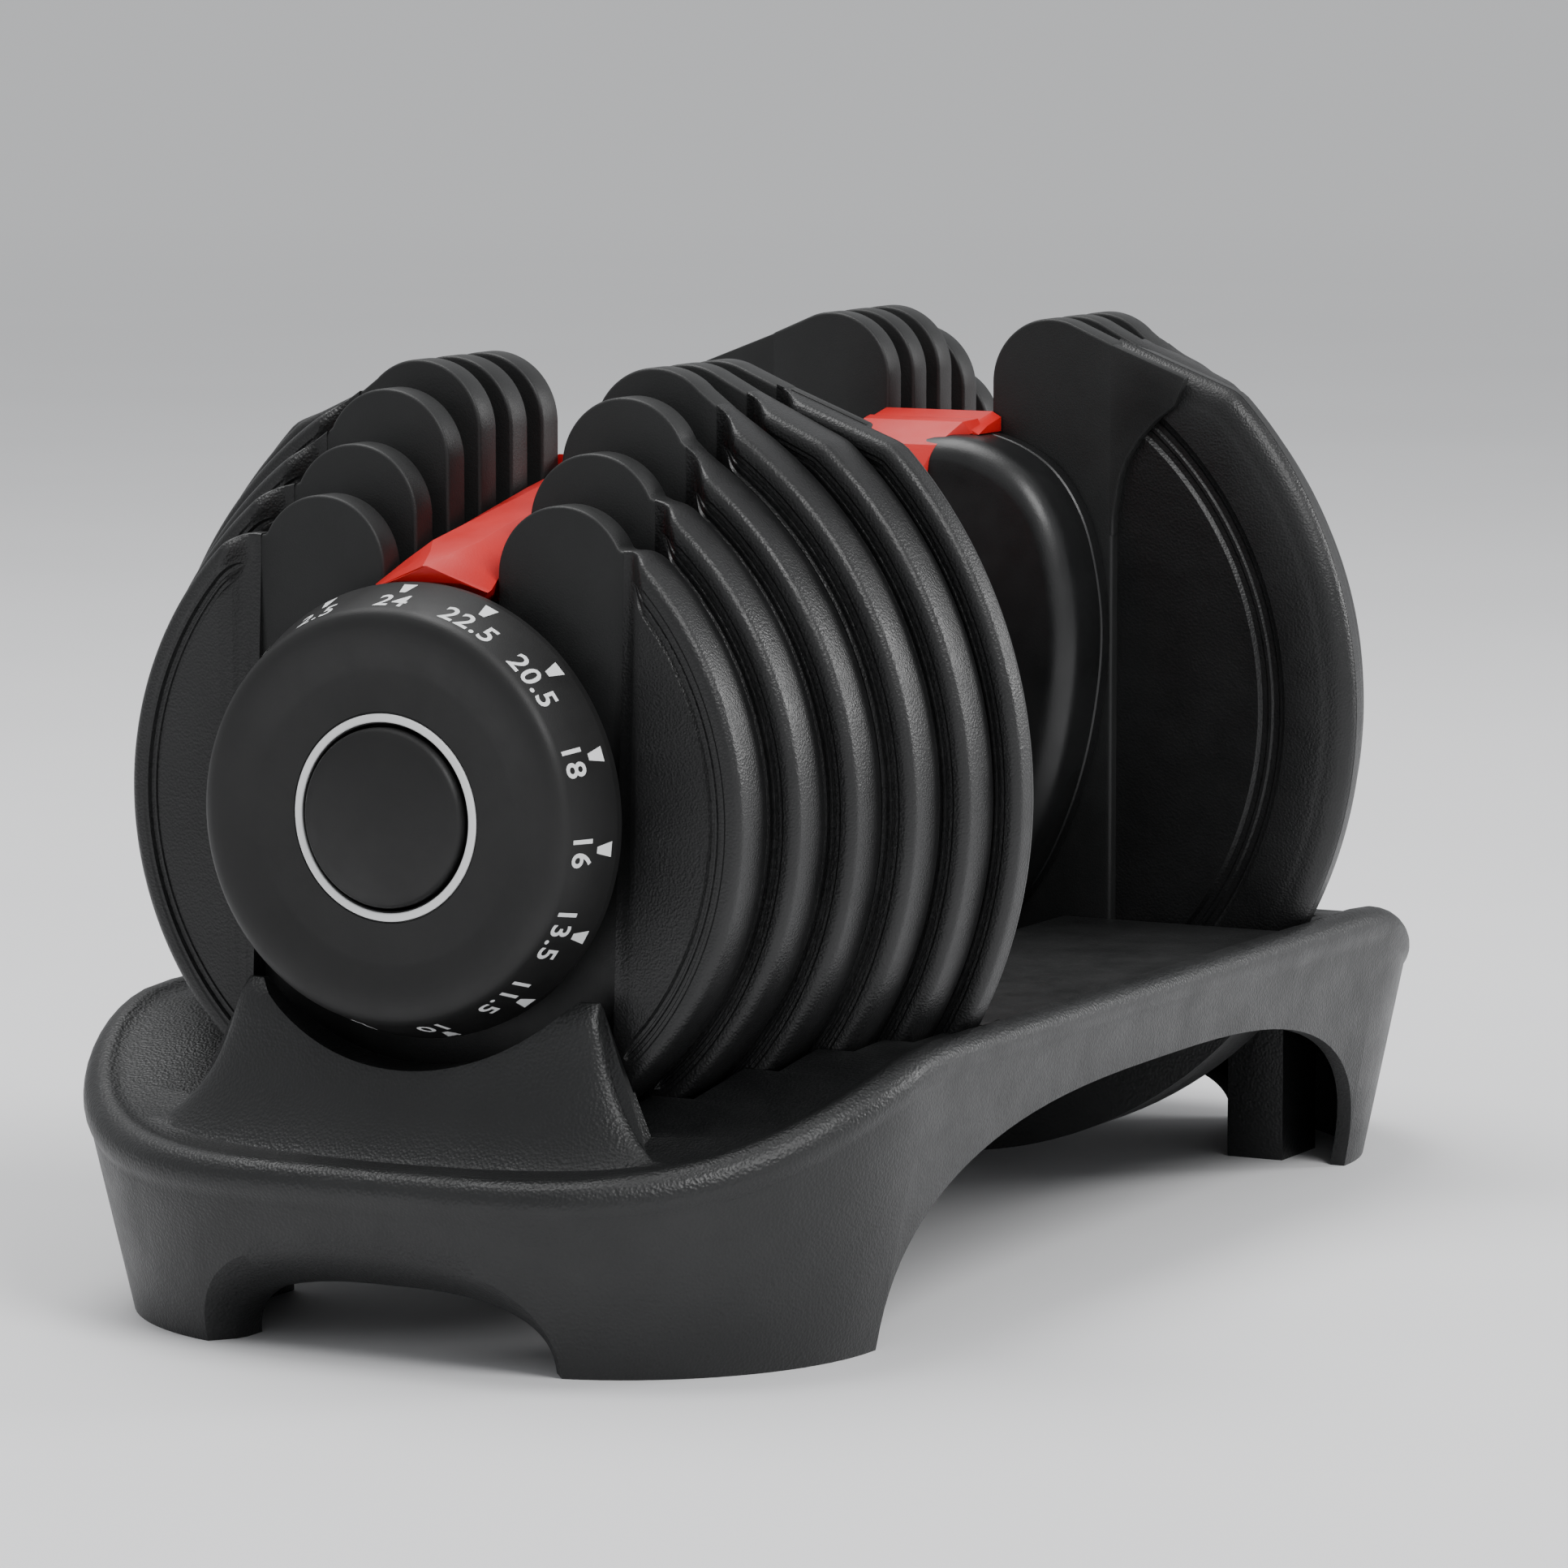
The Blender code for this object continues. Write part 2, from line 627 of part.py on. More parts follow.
def head_section(u, crest):
    edge = crest - 1.4
    return [(u, -18, HEAD_FOOT), (u, 18, HEAD_FOOT), (u, 18, edge), (u, 15.5, crest),
            (u, -15.5, crest), (u, -18, edge)]


def tongue(finish):
    """Strip that runs from the T down the guard's front face, waisted like an hourglass."""
    stations = [(79.0, 70.6, 17.5), (74.0, 70.4, 16.0), (66.3, 66.0, 12.0), (61.6, 58.5, 8.5),
                (61.6, 48.0, 7.5), (61.6, 38.0, 9.5), (61.6, 31.0, 12.5)]
    offsets = [(0.0, 3.5), (-1.2, 3.2), (-2.0, 2.0), (-2.4, 1.0), (-2.4, 0.0), (-2.4, 0.0),
               (-2.4, 0.0)]
    rings = []
    for (u, w, half), (du, dw) in zip(stations, offsets):
        rings.append([(u, -half, w), (u, half, w), (u + du, half * 0.9, w + dw),
                      (u + du, -half * 0.9, w + dw)])
    return loft("tongue", rings, finish)


def rim_height(x):
    """Top of the tray's lip, level along the sides and lower at the ends."""
    far = max(0.0, abs(x) - RIM_FALL_FROM) / (TRAY_LIP[0] - RIM_FALL_FROM)
    ease = far * far * (3 - 2 * far)
    return RIM_SIDE + (RIM_END - RIM_SIDE) * min(1.0, ease)


def tray_plan(size, steps=6):
    """A quarter-symmetrical rounded rectangle, from the +X end round to the +X end."""
    length, width, corner = size
    quarter = [(length, 0.0), (length, (width - corner) * 0.6)]
    quarter += arc((length - corner, width - corner), corner, 0, 90, steps)
    quarter += [((length - corner) * 0.55, width), (0.0, width)]
    bowed = [(x - TRAY_BOW * (y / width) ** 2 * x / length, y) for x, y in quarter]
    half = bowed + [(-x, y) for x, y in reversed(bowed[:-1])]
    return half + [(x, -y) for x, y in reversed(half[1:-1])]


def tray_ring(size, drop, level=None):
    points = []
    for x, y in tray_plan(size):
        points.append((x, y, level if level is not None else rim_height(x) + drop))
    return points


def tray_loft(name, rings, finish):
    """Loft the rings; the top is closed by bars across, so that it follows the rim's height."""
    count = len(rings[0])
    verts = [point for ring in rings for point in ring]
    faces = [tuple(range(count))]
    for level in range(len(rings) - 1):
        base = level * count
        for index in range(count):
            after = (index + 1) % count
            faces.append((base + index, base + after, base + count + after, base + count + index))
    top = (len(rings) - 1) * count
    half = count // 2
    for index in range(half):
        corners = [top + index, top + index + 1, top + (count - index - 1) % count,
                   top + (count - index) % count]
        unique = list(dict.fromkeys(corners))
        faces.append(tuple(unique))
    return mesh_object(name, verts, faces, finish)


def cradle(name, gap, ends, step, tail, finish):
    """Stepped solid of revolution round one end's plates, gap wider than they are.

    Each step down to the next plate's size is where that plate starts, moved out by step.
    The tail is the rest of the profile, past the outermost plate.
    """
    profile = [(ends[0], 0.0)]
    for number in (6, 5, 4, 3, 2, 1):
        radius = PLATE_RADII[number] + gap
        start = ends[0] if number == 6 else plate_start(number) + step
        end = ends[1] if number == 1 else plate_start(number - 1) + step
        profile += [(start, radius), (end, radius)]
    return turned(name, profile + tail, finish, 36)


def saddle(name, finish):
    """Block behind the end lip that guards the dial, with an ear each side.

    Its front slopes down from a straight top to a foot that bows outward like the lip.
    """
    rings = []
    for step in range(9):
        across = step / 4 - 1
        front = SADDLE_TOP + 1.0 + (SADDLE_FOOT - SADDLE_TOP) * math.sqrt(1 - 0.96 * across ** 2)
        low = SADDLE_HALF * across
        high = EAR[0] * across
        rings.append([(SADDLE_BACK, low, SADDLE_UNDER), (front - 1.0, low, SADDLE_UNDER),
                      (front, low, rim_height(front) - 3.0), (SADDLE_TOP, high, EAR[1]),
                      (SADDLE_BACK, high, EAR[1])])
    return loft(name, rings, finish)


def turned_end(item, side):
    """A cutter or lump drawn at the +X end, turned to either end."""
    if side < 0:
        for vertex in item.data.vertices:
            vertex.co = Vector((-vertex.co.x, -vertex.co.y, vertex.co.z))
    return item


def arch(name, sections, across, finish):
    """Arched solid through one wall, lofted from (half width, height, distance out, lean)."""
    rings = []
    for half, height, depth, lean in sections:
        outline = [(-half, -5.0), (half, -5.0)]
        for step in range(13):
            angle = math.pi * step / 12
            reach = math.copysign(abs(math.cos(angle)) ** 0.7, math.cos(angle))
            outline.append((half * reach, height * math.sin(angle) ** 0.8))
        ring = []
        for along, up in outline:
            away = depth + lean * max(up, 0.0)
            level = up - AXLE_HEIGHT
            ring.append((along, away, level) if across == "y" else (away, along, level))
        rings.append(ring)
    return loft(name, rings, finish)


def mirrored(item, across):
    for vertex in item.data.vertices:
        if across == "y":
            vertex.co.y = -vertex.co.y
        else:
            vertex.co.x = -vertex.co.x
    item.data.flip_normals()
    return item


def tray_shell(finish):
    """Moulded tray: boat-shaped wall with a rolled lip, cradles for the plates, open below."""
    floor = -AXLE_HEIGHT
    body = tray_loft("tray_shell", [
        tray_ring(TRAY_BOTTOM, 0, floor), tray_ring(TRAY_SHOULDER, -10.5),
        tray_ring(TRAY_LIP, -9.0), tray_ring(TRAY_LIP, -4.5), tray_ring(TRAY_LIP_TOP, 0.0),
        tray_ring(TRAY_DECK_EDGE, -1.5)], finish)
    combine(body, [turned_end(saddle("saddle", finish), side) for side in (-1, 1)], "UNION")
    void = tray_loft("void", [
        tray_ring(shrunk(TRAY_BOTTOM), 0, floor - 4.0), tray_ring(shrunk(TRAY_BOTTOM), 0, floor + 1.0),
        tray_ring(shrunk(TRAY_SHOULDER), -14.0), tray_ring(shrunk(TRAY_DECK_EDGE), -6.0)], finish)
    keep = []
    for side in (-1, 1):
        walls = cradle("walls", CRADLE_GAP + CRADLE_WALL, (84.0, 183.8), CRADLE_WALL - 0.4,
                       [(183.8, 0.0)], finish)
        keep.append(turned_end(walls, side))
        keep.append(turned_end(saddle("block", finish), side))
        half = WELL_HALF + WELL_WALL
        keep.append(turned_end(box("well", (56.0, 92.0), (-half, half),
                                   (WELL_FLOOR - WELL_WALL, -40.0), finish), side))
        frame = arch("frame", END_ARCH_FRAME, "x", finish)
        keep.append(frame if side > 0 else mirrored(frame, "x"))
        for across in (-1, 1):
            middle = across * FOOT_ACROSS
            keep.append(turned_end(box("foot", FOOT, (middle - FOOT_HALF, middle + FOOT_HALF),
                                       (floor - 20.0, -60.0), finish), side))
    combine(void, keep, "DIFFERENCE")
    combine(body, [void], "DIFFERENCE")
    cuts = []
    for sign in (-1, 1):
        side_arch = arch("side_arch", SIDE_ARCH, "y", finish)
        end_arch = arch("end_arch", END_ARCH, "x", finish)
        cuts.append(side_arch if sign > 0 else mirrored(side_arch, "y"))
        cuts.append(end_arch if sign > 0 else mirrored(end_arch, "x"))
        room = cradle("room", CRADLE_GAP, (87.6, 180.8), -0.4,
                      [(180.8, DIAL_ARC), (240.0, DIAL_ARC), (240.0, 0.0)], finish)
        cuts.append(turned_end(room, sign))
        cuts.append(turned_end(box("well_room", WELL, (-WELL_HALF, WELL_HALF),
                                   (WELL_FLOOR, 10.0), finish), sign))
    combine(body, cuts, "DIFFERENCE")
    smooth(body, 40)
    return place(body, 1)


def shrunk(size):
    return tuple(value - TRAY_WALL for value in size)


def build():
    clear_scene()
    tray_black = material("tray_plastic", (0.016, 0.017, 0.018), 0.62)
    plate_black = material("plate_coating", (0.018, 0.018, 0.019), 0.55)
    dial_black = material("dial_plastic", (0.022, 0.022, 0.022), 0.6)
    guard_black = material("guard_plastic", (0.014, 0.014, 0.015), 0.3)
    red = material("pointer_red", (0.72, 0.02, 0.015), 0.4)
    rubber = material("grip_rubber", (0.02, 0.02, 0.02), 0.8)
    disc_grey = material("disc_nylon", (0.06, 0.06, 0.065), 0.5)
    steel = material("bright_steel", (0.55, 0.55, 0.56), 0.3, 1.0)
    spring_steel = material("spring_steel", (0.38, 0.38, 0.4), 0.28, 1.0)
    tray_shell(tray_black)
    axle(steel)
    grip(rubber)
    for side in (-1, 1):
        for number in sorted(PLATE_RADII):
            plate(side, number, plate_black)
            selector_disc(side, number, disc_grey)
        dial(side, dial_black)
        dial_cap(side, dial_black)
        retaining_washer(side, steel)
        retaining_screw(side, steel)
        guard_shell(side, guard_black)
        guard_cover(side, guard_black)
        for index in range(len(GUARD_SCREWS)):
            guard_screw(side, index, steel)
        star_wheel(side, steel)
        lock_yoke(side, disc_grey)
        yoke_spring(side, spring_steel)
        index_spring(side, spring_steel)
        bridge(side, red)


build()
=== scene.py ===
"""Looks of the adjustable dumbbell in its cradle tray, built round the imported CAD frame.

Pieces are drawn in millimetres in "end" coordinates, as the frame's solids are: u outward
along the handle, v to the right of someone facing that end, w up from the axle.
"""
import math

import bmesh
import bpy
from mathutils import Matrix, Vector


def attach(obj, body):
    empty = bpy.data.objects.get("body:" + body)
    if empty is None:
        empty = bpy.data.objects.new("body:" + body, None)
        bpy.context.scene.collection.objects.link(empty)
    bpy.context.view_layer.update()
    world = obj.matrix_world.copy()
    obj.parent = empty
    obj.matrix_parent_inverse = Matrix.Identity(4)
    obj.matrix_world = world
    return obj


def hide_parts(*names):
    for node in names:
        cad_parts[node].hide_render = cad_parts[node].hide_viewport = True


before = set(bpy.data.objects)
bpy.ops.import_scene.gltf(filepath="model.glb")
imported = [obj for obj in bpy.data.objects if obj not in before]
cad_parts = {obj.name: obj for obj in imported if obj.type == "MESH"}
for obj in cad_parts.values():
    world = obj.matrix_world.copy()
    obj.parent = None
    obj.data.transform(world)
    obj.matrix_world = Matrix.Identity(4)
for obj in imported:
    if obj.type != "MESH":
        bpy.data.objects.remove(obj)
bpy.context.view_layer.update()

MM = 0.001
ENDS = {"front": -1, "rear": 1}
AXLE_HEIGHT = 126.0

# Plates, 1 outermost and 6 innermost: heights are from the axle, distances from the middle.
PLATE_RADII = {1: 82.0, 2: 89.0, 3: 96.0, 4: 103.5, 5: 110.0, 6: 116.0}
LOBE_TOPS = {1: 71.0, 2: 82.0, 3: 94.0, 4: 100.0, 5: 100.0, 6: 100.0}
LOBE_END_ANGLES = {1: 25, 2: 25, 3: 25, 4: 45, 5: 60, 6: 70}
RIM_START = {1: 54.0, 2: 54.0, 3: 54.0, 4: 60.0, 5: 72.0, 6: 82.0}
PLATE_START = 88.6
PLATE_PITCH = 15.1
BAND_THICKNESS = 8.0
PAD_THICKNESS = 14.3
CORNER_FILLET = 10.0
SLOT_HALF = 15.2
LOBE_RADIUS = 16.8
CHORD = 48.5
INSIDE_CHORD = 16.0
UNDER_PAD = 1.5
INNER_RECESS = 3.2
INNER_SHOULDER = (5.0, 7.0)
SHOULDER = (2.6, 2.5)
SHOULDER_INSET = 0.3
FACE_DROP = 0.35
TAB_RADII = (27.0, 31.5)
INNER_WING = ((48.0, 42.0), (50.2, 44.0), (50.4, 50.0), (51.8, 58.6), (53.8, 64.0), (57.4, 69.6),
              (62.0, 74.4), (67.4, 78.5), (70.4, 85.8), (48.0, 94.4))

DIAL_FACE = 200.0
DIAL_LABELS = ("24", "22.5", "20.5", "18", "16", "13.5", "11.5", "10", "9", "8", "6.5", "5.5",
               "4.5", "3.5", "2.5")
# The band that carries the numbers runs between these two points, each (u, radius).
CONE_BACK = (184.0, 53.0)
CONE_FRONT = (197.2, 48.5)
NUMBER_RADIUS = 50.5
PRINT_LIFT = 0.08
MARK = ((-0.75, 8.2), (0.75, 8.2), (1.75, 12.6), (-1.75, 12.6))
CAP_RADIUS = 19.9
CAP_CROWN = 2.4

GUARD_OUTLINE = ((0, 70), (18, 70), (34, 63), (44, 50), (49, 32), (50, 14), (47, -8),
                 (41, -28), (32, -46), (20, -59), (8, -65), (0, -65))
GUARD_MIDDLE = 5.0
GUARD_FACE = 62.6
GUARD_SHOULDER = (7.4, 7.6)
GUARD_SPLIT = 81.9
GUARD_SCREWS = ((38.0, 24.0), (-38.0, 24.0))
POST_RADIUS = 4.6
PILOT_RADIUS = 2.0
SINK_RADIUS = 3.7
AXLE_BORE = 9.4
HUB_RADIUS = 12.6
COVER_BORE = 13.1

# Pointer rows: u, half width, then heights of the ridge, the side edge and the underside.
BEAM_ROWS = ((84.0, 12.5, 74.0, 73.0, 70.6), (88.0, 12.5, 73.8, 72.7, 70.6),
             (88.4, 12.5, 73.7, 72.6, 56.0), (110.0, 12.0, 71.0, 69.0, 52.0),
             (150.0, 12.0, 64.0, 60.5, 47.5), (165.0, 13.5, 61.0, 56.0, 47.5))
HOOD_BACK = ((175.3, -15.5, 51.2), (174.6, -12.6, 49.2), (174.6, 12.6, 49.2),
             (175.3, 15.5, 51.2), (171.5, 3.0, 59.0), (171.5, -3.0, 59.0))
HOOD_FRONT = ((176.2, -15.0, 50.6), (178.0, -9.0, 52.6), (178.0, 9.0, 52.6),
              (176.2, 15.0, 50.6), (179.2, 0.6, 56.4), (179.2, -0.6, 56.4))
HEAD_CRESTS = ((75.0, 71.6), (80.0, 73.6), (88.2, 75.4))
HEAD_HALF = 18
HEAD_CREST_HALF = 15.5
HEAD_BOTTOM = 70.3
HEAD_SLOPE = 1.4
# Tongue rows: u, w and half width of the outer face, then how far the inner face lies from it.
TONGUE_ROWS = (((79.0, 70.6, 17.5), (0.0, 3.5)), ((74.0, 70.4, 16.0), (-1.2, 3.2)),
               ((66.3, 66.0, 12.0), (-2.0, 2.0)), ((61.6, 58.5, 8.5), (-2.4, 1.0)),
               ((61.6, 48.0, 7.5), (-2.4, 0.0)), ((61.6, 38.0, 9.5), (-2.4, 0.0)),
               ((61.6, 31.0, 12.5), (-2.4, 0.0)))

GRIP_END = 61.6
GRIP_RADIUS = 16.5
GRIP_SWELL = 1.5
GRIP_BORE = 9.3
GRIP_GROOVES = (-50.0, -46.0, -42.0, 42.0, 46.0, 50.0)
GROOVE_DEPTH = 0.7
GROOVE_WIDTH = 0.8
GRIP_EDGE = 1.0

# Tray plans: half length, half width and corner radius at one level each.
TRAY_BOTTOM = (203.0, 96.0, 62.0)
TRAY_SHOULDER = (215.4, 107.4, 78.4)
TRAY_LIP = (217.0, 109.0, 80.0)
TRAY_DECK_EDGE = (207.0, 99.0, 70.0)
TRAY_BOW = 4.0
TRAY_WALL = 4.0
LIP_ROLL = (4.8, 5.2)
# Arch sections, from inside to outside: half width, height, distance out and lean.
SIDE_ARCH = ((138.0, 50.0, 89.0, 0.2), (138.0, 50.0, 99.5, 0.12), (140.0, 52.0, 106.0, 0.12),
             (145.0, 57.0, 130.0, 0.0))
END_ARCH = ((42.0, 16.5, 182.0, 0.2), (42.0, 16.5, 192.0, 0.2), (43.0, 17.5, 195.0, 0.25),
            (47.0, 22.5, 200.0, 0.3), (51.0, 28.5, 204.6, 0.32), (52.5, 31.0, 206.0, 0.32),
            (61.0, 41.0, 211.0, 0.32))
END_ARCH_FRAME = ((45.0, 19.5, 185.0, 0.2), (45.0, 19.5, 193.0, 0.2), (50.0, 26.0, 199.0, 0.3),
                  (57.0, 35.5, 207.0, 0.3))
RIM_SIDE = -54.5
RIM_END = -79.0
RIM_FALL_FROM = 125.0

SADDLE_BACK = 180.2
SADDLE_RIDGE = 187.0
SADDLE_FOOT = 188.0
SADDLE_BOW = 16.0
SADDLE_TOP = -42.0
SADDLE_BOTTOM = -92.0
SADDLE_TOP_HALF = 47.0
SADDLE_SPREAD = 21.0
SADDLE_FOOT_HALF = 68.0
SADDLE_CORE_HALF = 67.0
WELL_WALLS = ((56.0, 92.0), (-41.0, 41.0), (-75.4, -40.0))
WELL_ROOM = ((59.0, 88.2), (-37.0, 37.0), (-71.4, 10.0))
FOOT_PLACE = 70.0
FOOT_HALF = 8
FOOT_ALONG = (138.0, 160.0)
CRADLE_WALLS_GAP = 4.8
CRADLE_WALLS_ALONG = (84.0, 183.8)
CRADLE_ROOM_GAP = 1.2
CRADLE_ROOM_ALONG = (87.6, 180.8)
DIAL_ROOM = 59.5

BACKDROP = (0.86, 0.87, 0.89, 1.0)
BACKDROP_STRENGTH = 0.68
FLOOR_REACH = 8.0
FLOOR_FADE = (1.0, 5.5)
# Lamps: place in metres, diameter in metres and power in watts.
LAMPS = {"key_light": ((-0.9, -1.7, 1.9), 1.2, 42.0),
         "side_light": ((1.6, -1.9, 0.9), 0.9, 30.0),
         "top_light": ((0.1, 0.6, 2.2), 1.6, 40.0)}
LAMP_AIM = (0.0, 0.0, 0.1)
CAMERA_PLACE = (-1.6312, -0.8505, 0.3406)
CAMERA_AIM = (0.0, 0.0, 0.112)
CAMERA_LENS = 168.0


# ---------------------------------------------------------------- mesh helpers

def mesh_object(name, verts, faces, finish, sharp=35):
    """A piece from points in millimetres, with its faces turned outward."""
    work = bmesh.new()
    made = [work.verts.new(Vector(point) * MM) for point in verts]
    for face in faces:
        work.faces.new([made[index] for index in face])
    bmesh.ops.remove_doubles(work, verts=work.verts, dist=2e-7)
    bmesh.ops.recalc_face_normals(work, faces=work.faces)
    mesh = bpy.data.meshes.new(name)
    work.to_mesh(mesh)
    work.free()
    mesh.materials.append(finish)
    item = bpy.data.objects.new(name, mesh)
    bpy.context.scene.collection.objects.link(item)
    smooth(item, sharp)
    return item


def smooth(item, degrees):
    item.data.shade_smooth()
    item.data.set_sharp_from_angle(angle=math.radians(degrees))


def apply_modifiers(item):
    graph = bpy.context.evaluated_depsgraph_get()
    result = bpy.data.meshes.new_from_object(item.evaluated_get(graph))
    item.modifiers.clear()
    item.data = result
    return item


def combine(item, tools, operation):
    for tool in tools:
        step = item.modifiers.new(operation.lower(), "BOOLEAN")
        step.solver = "EXACT"
        step.operation = operation
        step.object = tool
        apply_modifiers(item)
        bpy.data.objects.remove(tool, do_unlink=True)
    return item


def bevel(item, width, segments=2, angle=40):
    step = item.modifiers.new("bevel", "BEVEL")
    step.width = width * MM
    step.segments = segments
    step.limit_method = "ANGLE"
    step.angle_limit = math.radians(angle)
    step.use_clamp_overlap = True
    step.harden_normals = False
    apply_modifiers(item)
    smooth(item, 40)
    return item


def join(item, others):
    """Add the other meshes to the item and drop their objects."""
    work = bmesh.new()
    work.from_mesh(item.data)
    for other in others:
        work.from_mesh(other.data)
        bpy.data.objects.remove(other, do_unlink=True)
    work.to_mesh(item.data)
    work.free()
    return item


def prism(name, outline, start, end, finish):
    count = len(outline)
    verts = [(start, v, w) for v, w in outline] + [(end, v, w) for v, w in outline]
    faces = [tuple(range(count)), tuple(range(count, 2 * count))]
    for index in range(count):
        after = (index + 1) % count
        faces.append((index, after, count + after, count + index))
    return mesh_object(name, verts, faces, finish)


def box(name, u, v, w, finish):
    corners = [(v[0], w[0]), (v[1], w[0]), (v[1], w[1]), (v[0], w[1])]
    return prism(name, corners, u[0], u[1], finish)


def side_faces(levels, count):
    """Quads between the closed rings of a loft."""
    faces = []
    for level in range(levels - 1):
        base = level * count
        for index in range(count):
            after = (index + 1) % count
            faces.append((base + index, base + after, base + count + after, base + count + index))
    return faces


def loft(name, sections, finish, sharp=35):
    count = len(sections[0])
    verts = [point for ring in sections for point in ring]
    last = (len(sections) - 1) * count
    caps = [tuple(range(count)), tuple(range(last, last + count))]
    return mesh_object(name, verts, caps + side_faces(len(sections), count), finish, sharp)


def turned(name, profile, finish, segments=144, sharp=35):
    """A solid of revolution round the axle from a closed profile of (u, radius)."""
    verts = []
    for step in range(segments):
        angle = 2 * math.pi * step / segments
        for u, radius in profile:
            verts.append((u, radius * math.cos(angle), radius * math.sin(angle)))
    count = len(profile)
    faces = []
    for step in range(segments):
        here = step * count
        there = (step + 1) % segments * count
        for index in range(count):
            after = (index + 1) % count
            if profile[index][1] > 0 or profile[after][1] > 0:
                faces.append((here + index, here + after, there + after, there + index))
    return mesh_object(name, verts, faces, finish, sharp)


def mirrored(item, axis):
    for vertex in item.data.vertices:
        vertex.co[axis] = -vertex.co[axis]
    item.data.flip_normals()
    return item


def turn_to(item, side):
    """Turn a piece half round, from the +X end where it is drawn, if it belongs at the other."""
    if side < 0:
        for vertex in item.data.vertices:
            vertex.co = Vector((-vertex.co.x, -vertex.co.y, vertex.co.z))
    return item


def place(item, side, body, slot, *nodes):
    turn_to(item, side)
    for vertex in item.data.vertices:
        vertex.co.z += AXLE_HEIGHT * MM
    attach(item, body)
    if nodes:
        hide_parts(*nodes)
    return item


def arc(centre, radius, first, last, steps):
    points = []
    for step in range(steps + 1):
        angle = math.radians(first + (last - first) * step / steps)
        points.append((centre[0] + radius * math.cos(angle), centre[1] + radius * math.sin(angle)))
    return points


def spline(points, steps):
    """Catmull-Rom curve through a closed ring of points."""
    count = len(points)
    result = []
    for index in range(count):
        before, here, there, after = (Vector(points[(index + k) % count]) for k in (-1, 0, 1, 2))
        for step in range(steps):
            t = step / steps
            result.append(tuple(0.5 * (2 * here + (there - before) * t
                                       + (2 * before - 5 * here + 4 * there - after) * t * t
                                       + (3 * here - before - 3 * there + after) * t ** 3)))
    return result


# ---------------------------------------------------------------- materials

def new_material(name):
    made = bpy.data.materials.new(name)
    made.use_nodes = True
    nodes = made.node_tree.nodes
    return made, nodes, made.node_tree.links, nodes["Principled BSDF"]


def noise(nodes, links, coords, scale, detail=3.0, roughness=0.5):
    node = nodes.new("ShaderNodeTexNoise")
    node.inputs["Scale"].default_value = scale
    node.inputs["Detail"].default_value = detail
    node.inputs["Roughness"].default_value = roughness
    links.new(coords, node.inputs["Vector"])
    return node.outputs["Fac"]


def spread(nodes, links, value, low, high, stops=(0.0, 1.0)):
    node = nodes.new("ShaderNodeMapRange")
    node.inputs["From Min"].default_value = stops[0]
    node.inputs["From Max"].default_value = stops[1]
    node.inputs["To Min"].default_value = low
    node.inputs["To Max"].default_value = high
    links.new(value, node.inputs["Value"])
    return node.outputs["Result"]


def two_tone(nodes, links, value, dark, light, stops=(0.3, 0.7)):
    node = nodes.new("ShaderNodeValToRGB")
    node.color_ramp.elements[0].position = stops[0]
    node.color_ramp.elements[0].color = (*dark, 1.0)
    node.color_ramp.elements[1].position = stops[1]
    node.color_ramp.elements[1].color = (*light, 1.0)
    links.new(value, node.inputs["Fac"])
    return node.outputs["Color"]


def bump(nodes, links, height, distance, strength=1.0, below=None):
    node = nodes.new("ShaderNodeBump")
    node.inputs["Distance"].default_value = distance * MM
    node.inputs["Strength"].default_value = strength
    links.new(height, node.inputs["Height"])
    if below is not None:
        links.new(below, node.inputs["Normal"])
    return node.outputs["Normal"]


def moulded(name, dark, light, rough, grain, depth, specular=0.5):
    """Moulded surface: blotchy tone, fine grain in the bump, roughness that varies."""
    made, nodes, links, shader = new_material(name)
    coords = nodes.new("ShaderNodeTexCoord").outputs["Object"]
    blotch = noise(nodes, links, coords, scale=28.0, detail=4.0, roughness=0.6)
    fine = noise(nodes, links, coords, scale=1000.0 / grain, detail=2.0, roughness=0.6)
    links.new(two_tone(nodes, links, blotch, dark, light), shader.inputs["Base Color"])
    wear = noise(nodes, links, coords, scale=90.0, detail=5.0, roughness=0.65)
    links.new(spread(nodes, links, wear, rough - 0.06, rough + 0.07, (0.3, 0.7)),
              shader.inputs["Roughness"])
    shader.inputs["Specular IOR Level"].default_value = specular
    links.new(bump(nodes, links, fine, depth), shader.inputs["Normal"])
    return made


def pebbled(name, dark, light, rough, pebble, depth, specular=0.5):
    """Leather-like pebbles from cell distances, with a fine grain over them."""
    made, nodes, links, shader = new_material(name)
    coords = nodes.new("ShaderNodeTexCoord").outputs["Object"]
    cells = nodes.new("ShaderNodeTexVoronoi")
    cells.feature = "SMOOTH_F1"
    cells.inputs["Scale"].default_value = 1000.0 / pebble
    cells.inputs["Smoothness"].default_value = 0.5
    links.new(coords, cells.inputs["Vector"])
    grain = noise(nodes, links, coords, scale=2200.0 / pebble, detail=2.0, roughness=0.5)
    blotch = noise(nodes, links, coords, scale=24.0, detail=4.0, roughness=0.6)
    wear = noise(nodes, links, coords, scale=70.0, detail=5.0, roughness=0.7)
    links.new(two_tone(nodes, links, blotch, dark, light), shader.inputs["Base Color"])
    links.new(spread(nodes, links, wear, rough - 0.06, rough + 0.08, (0.3, 0.7)),
              shader.inputs["Roughness"])
    shader.inputs["Specular IOR Level"].default_value = specular
    first = bump(nodes, links, cells.outputs["Distance"], depth, 0.8)
    links.new(bump(nodes, links, grain, depth * 0.4, 0.6, first), shader.inputs["Normal"])
    return made


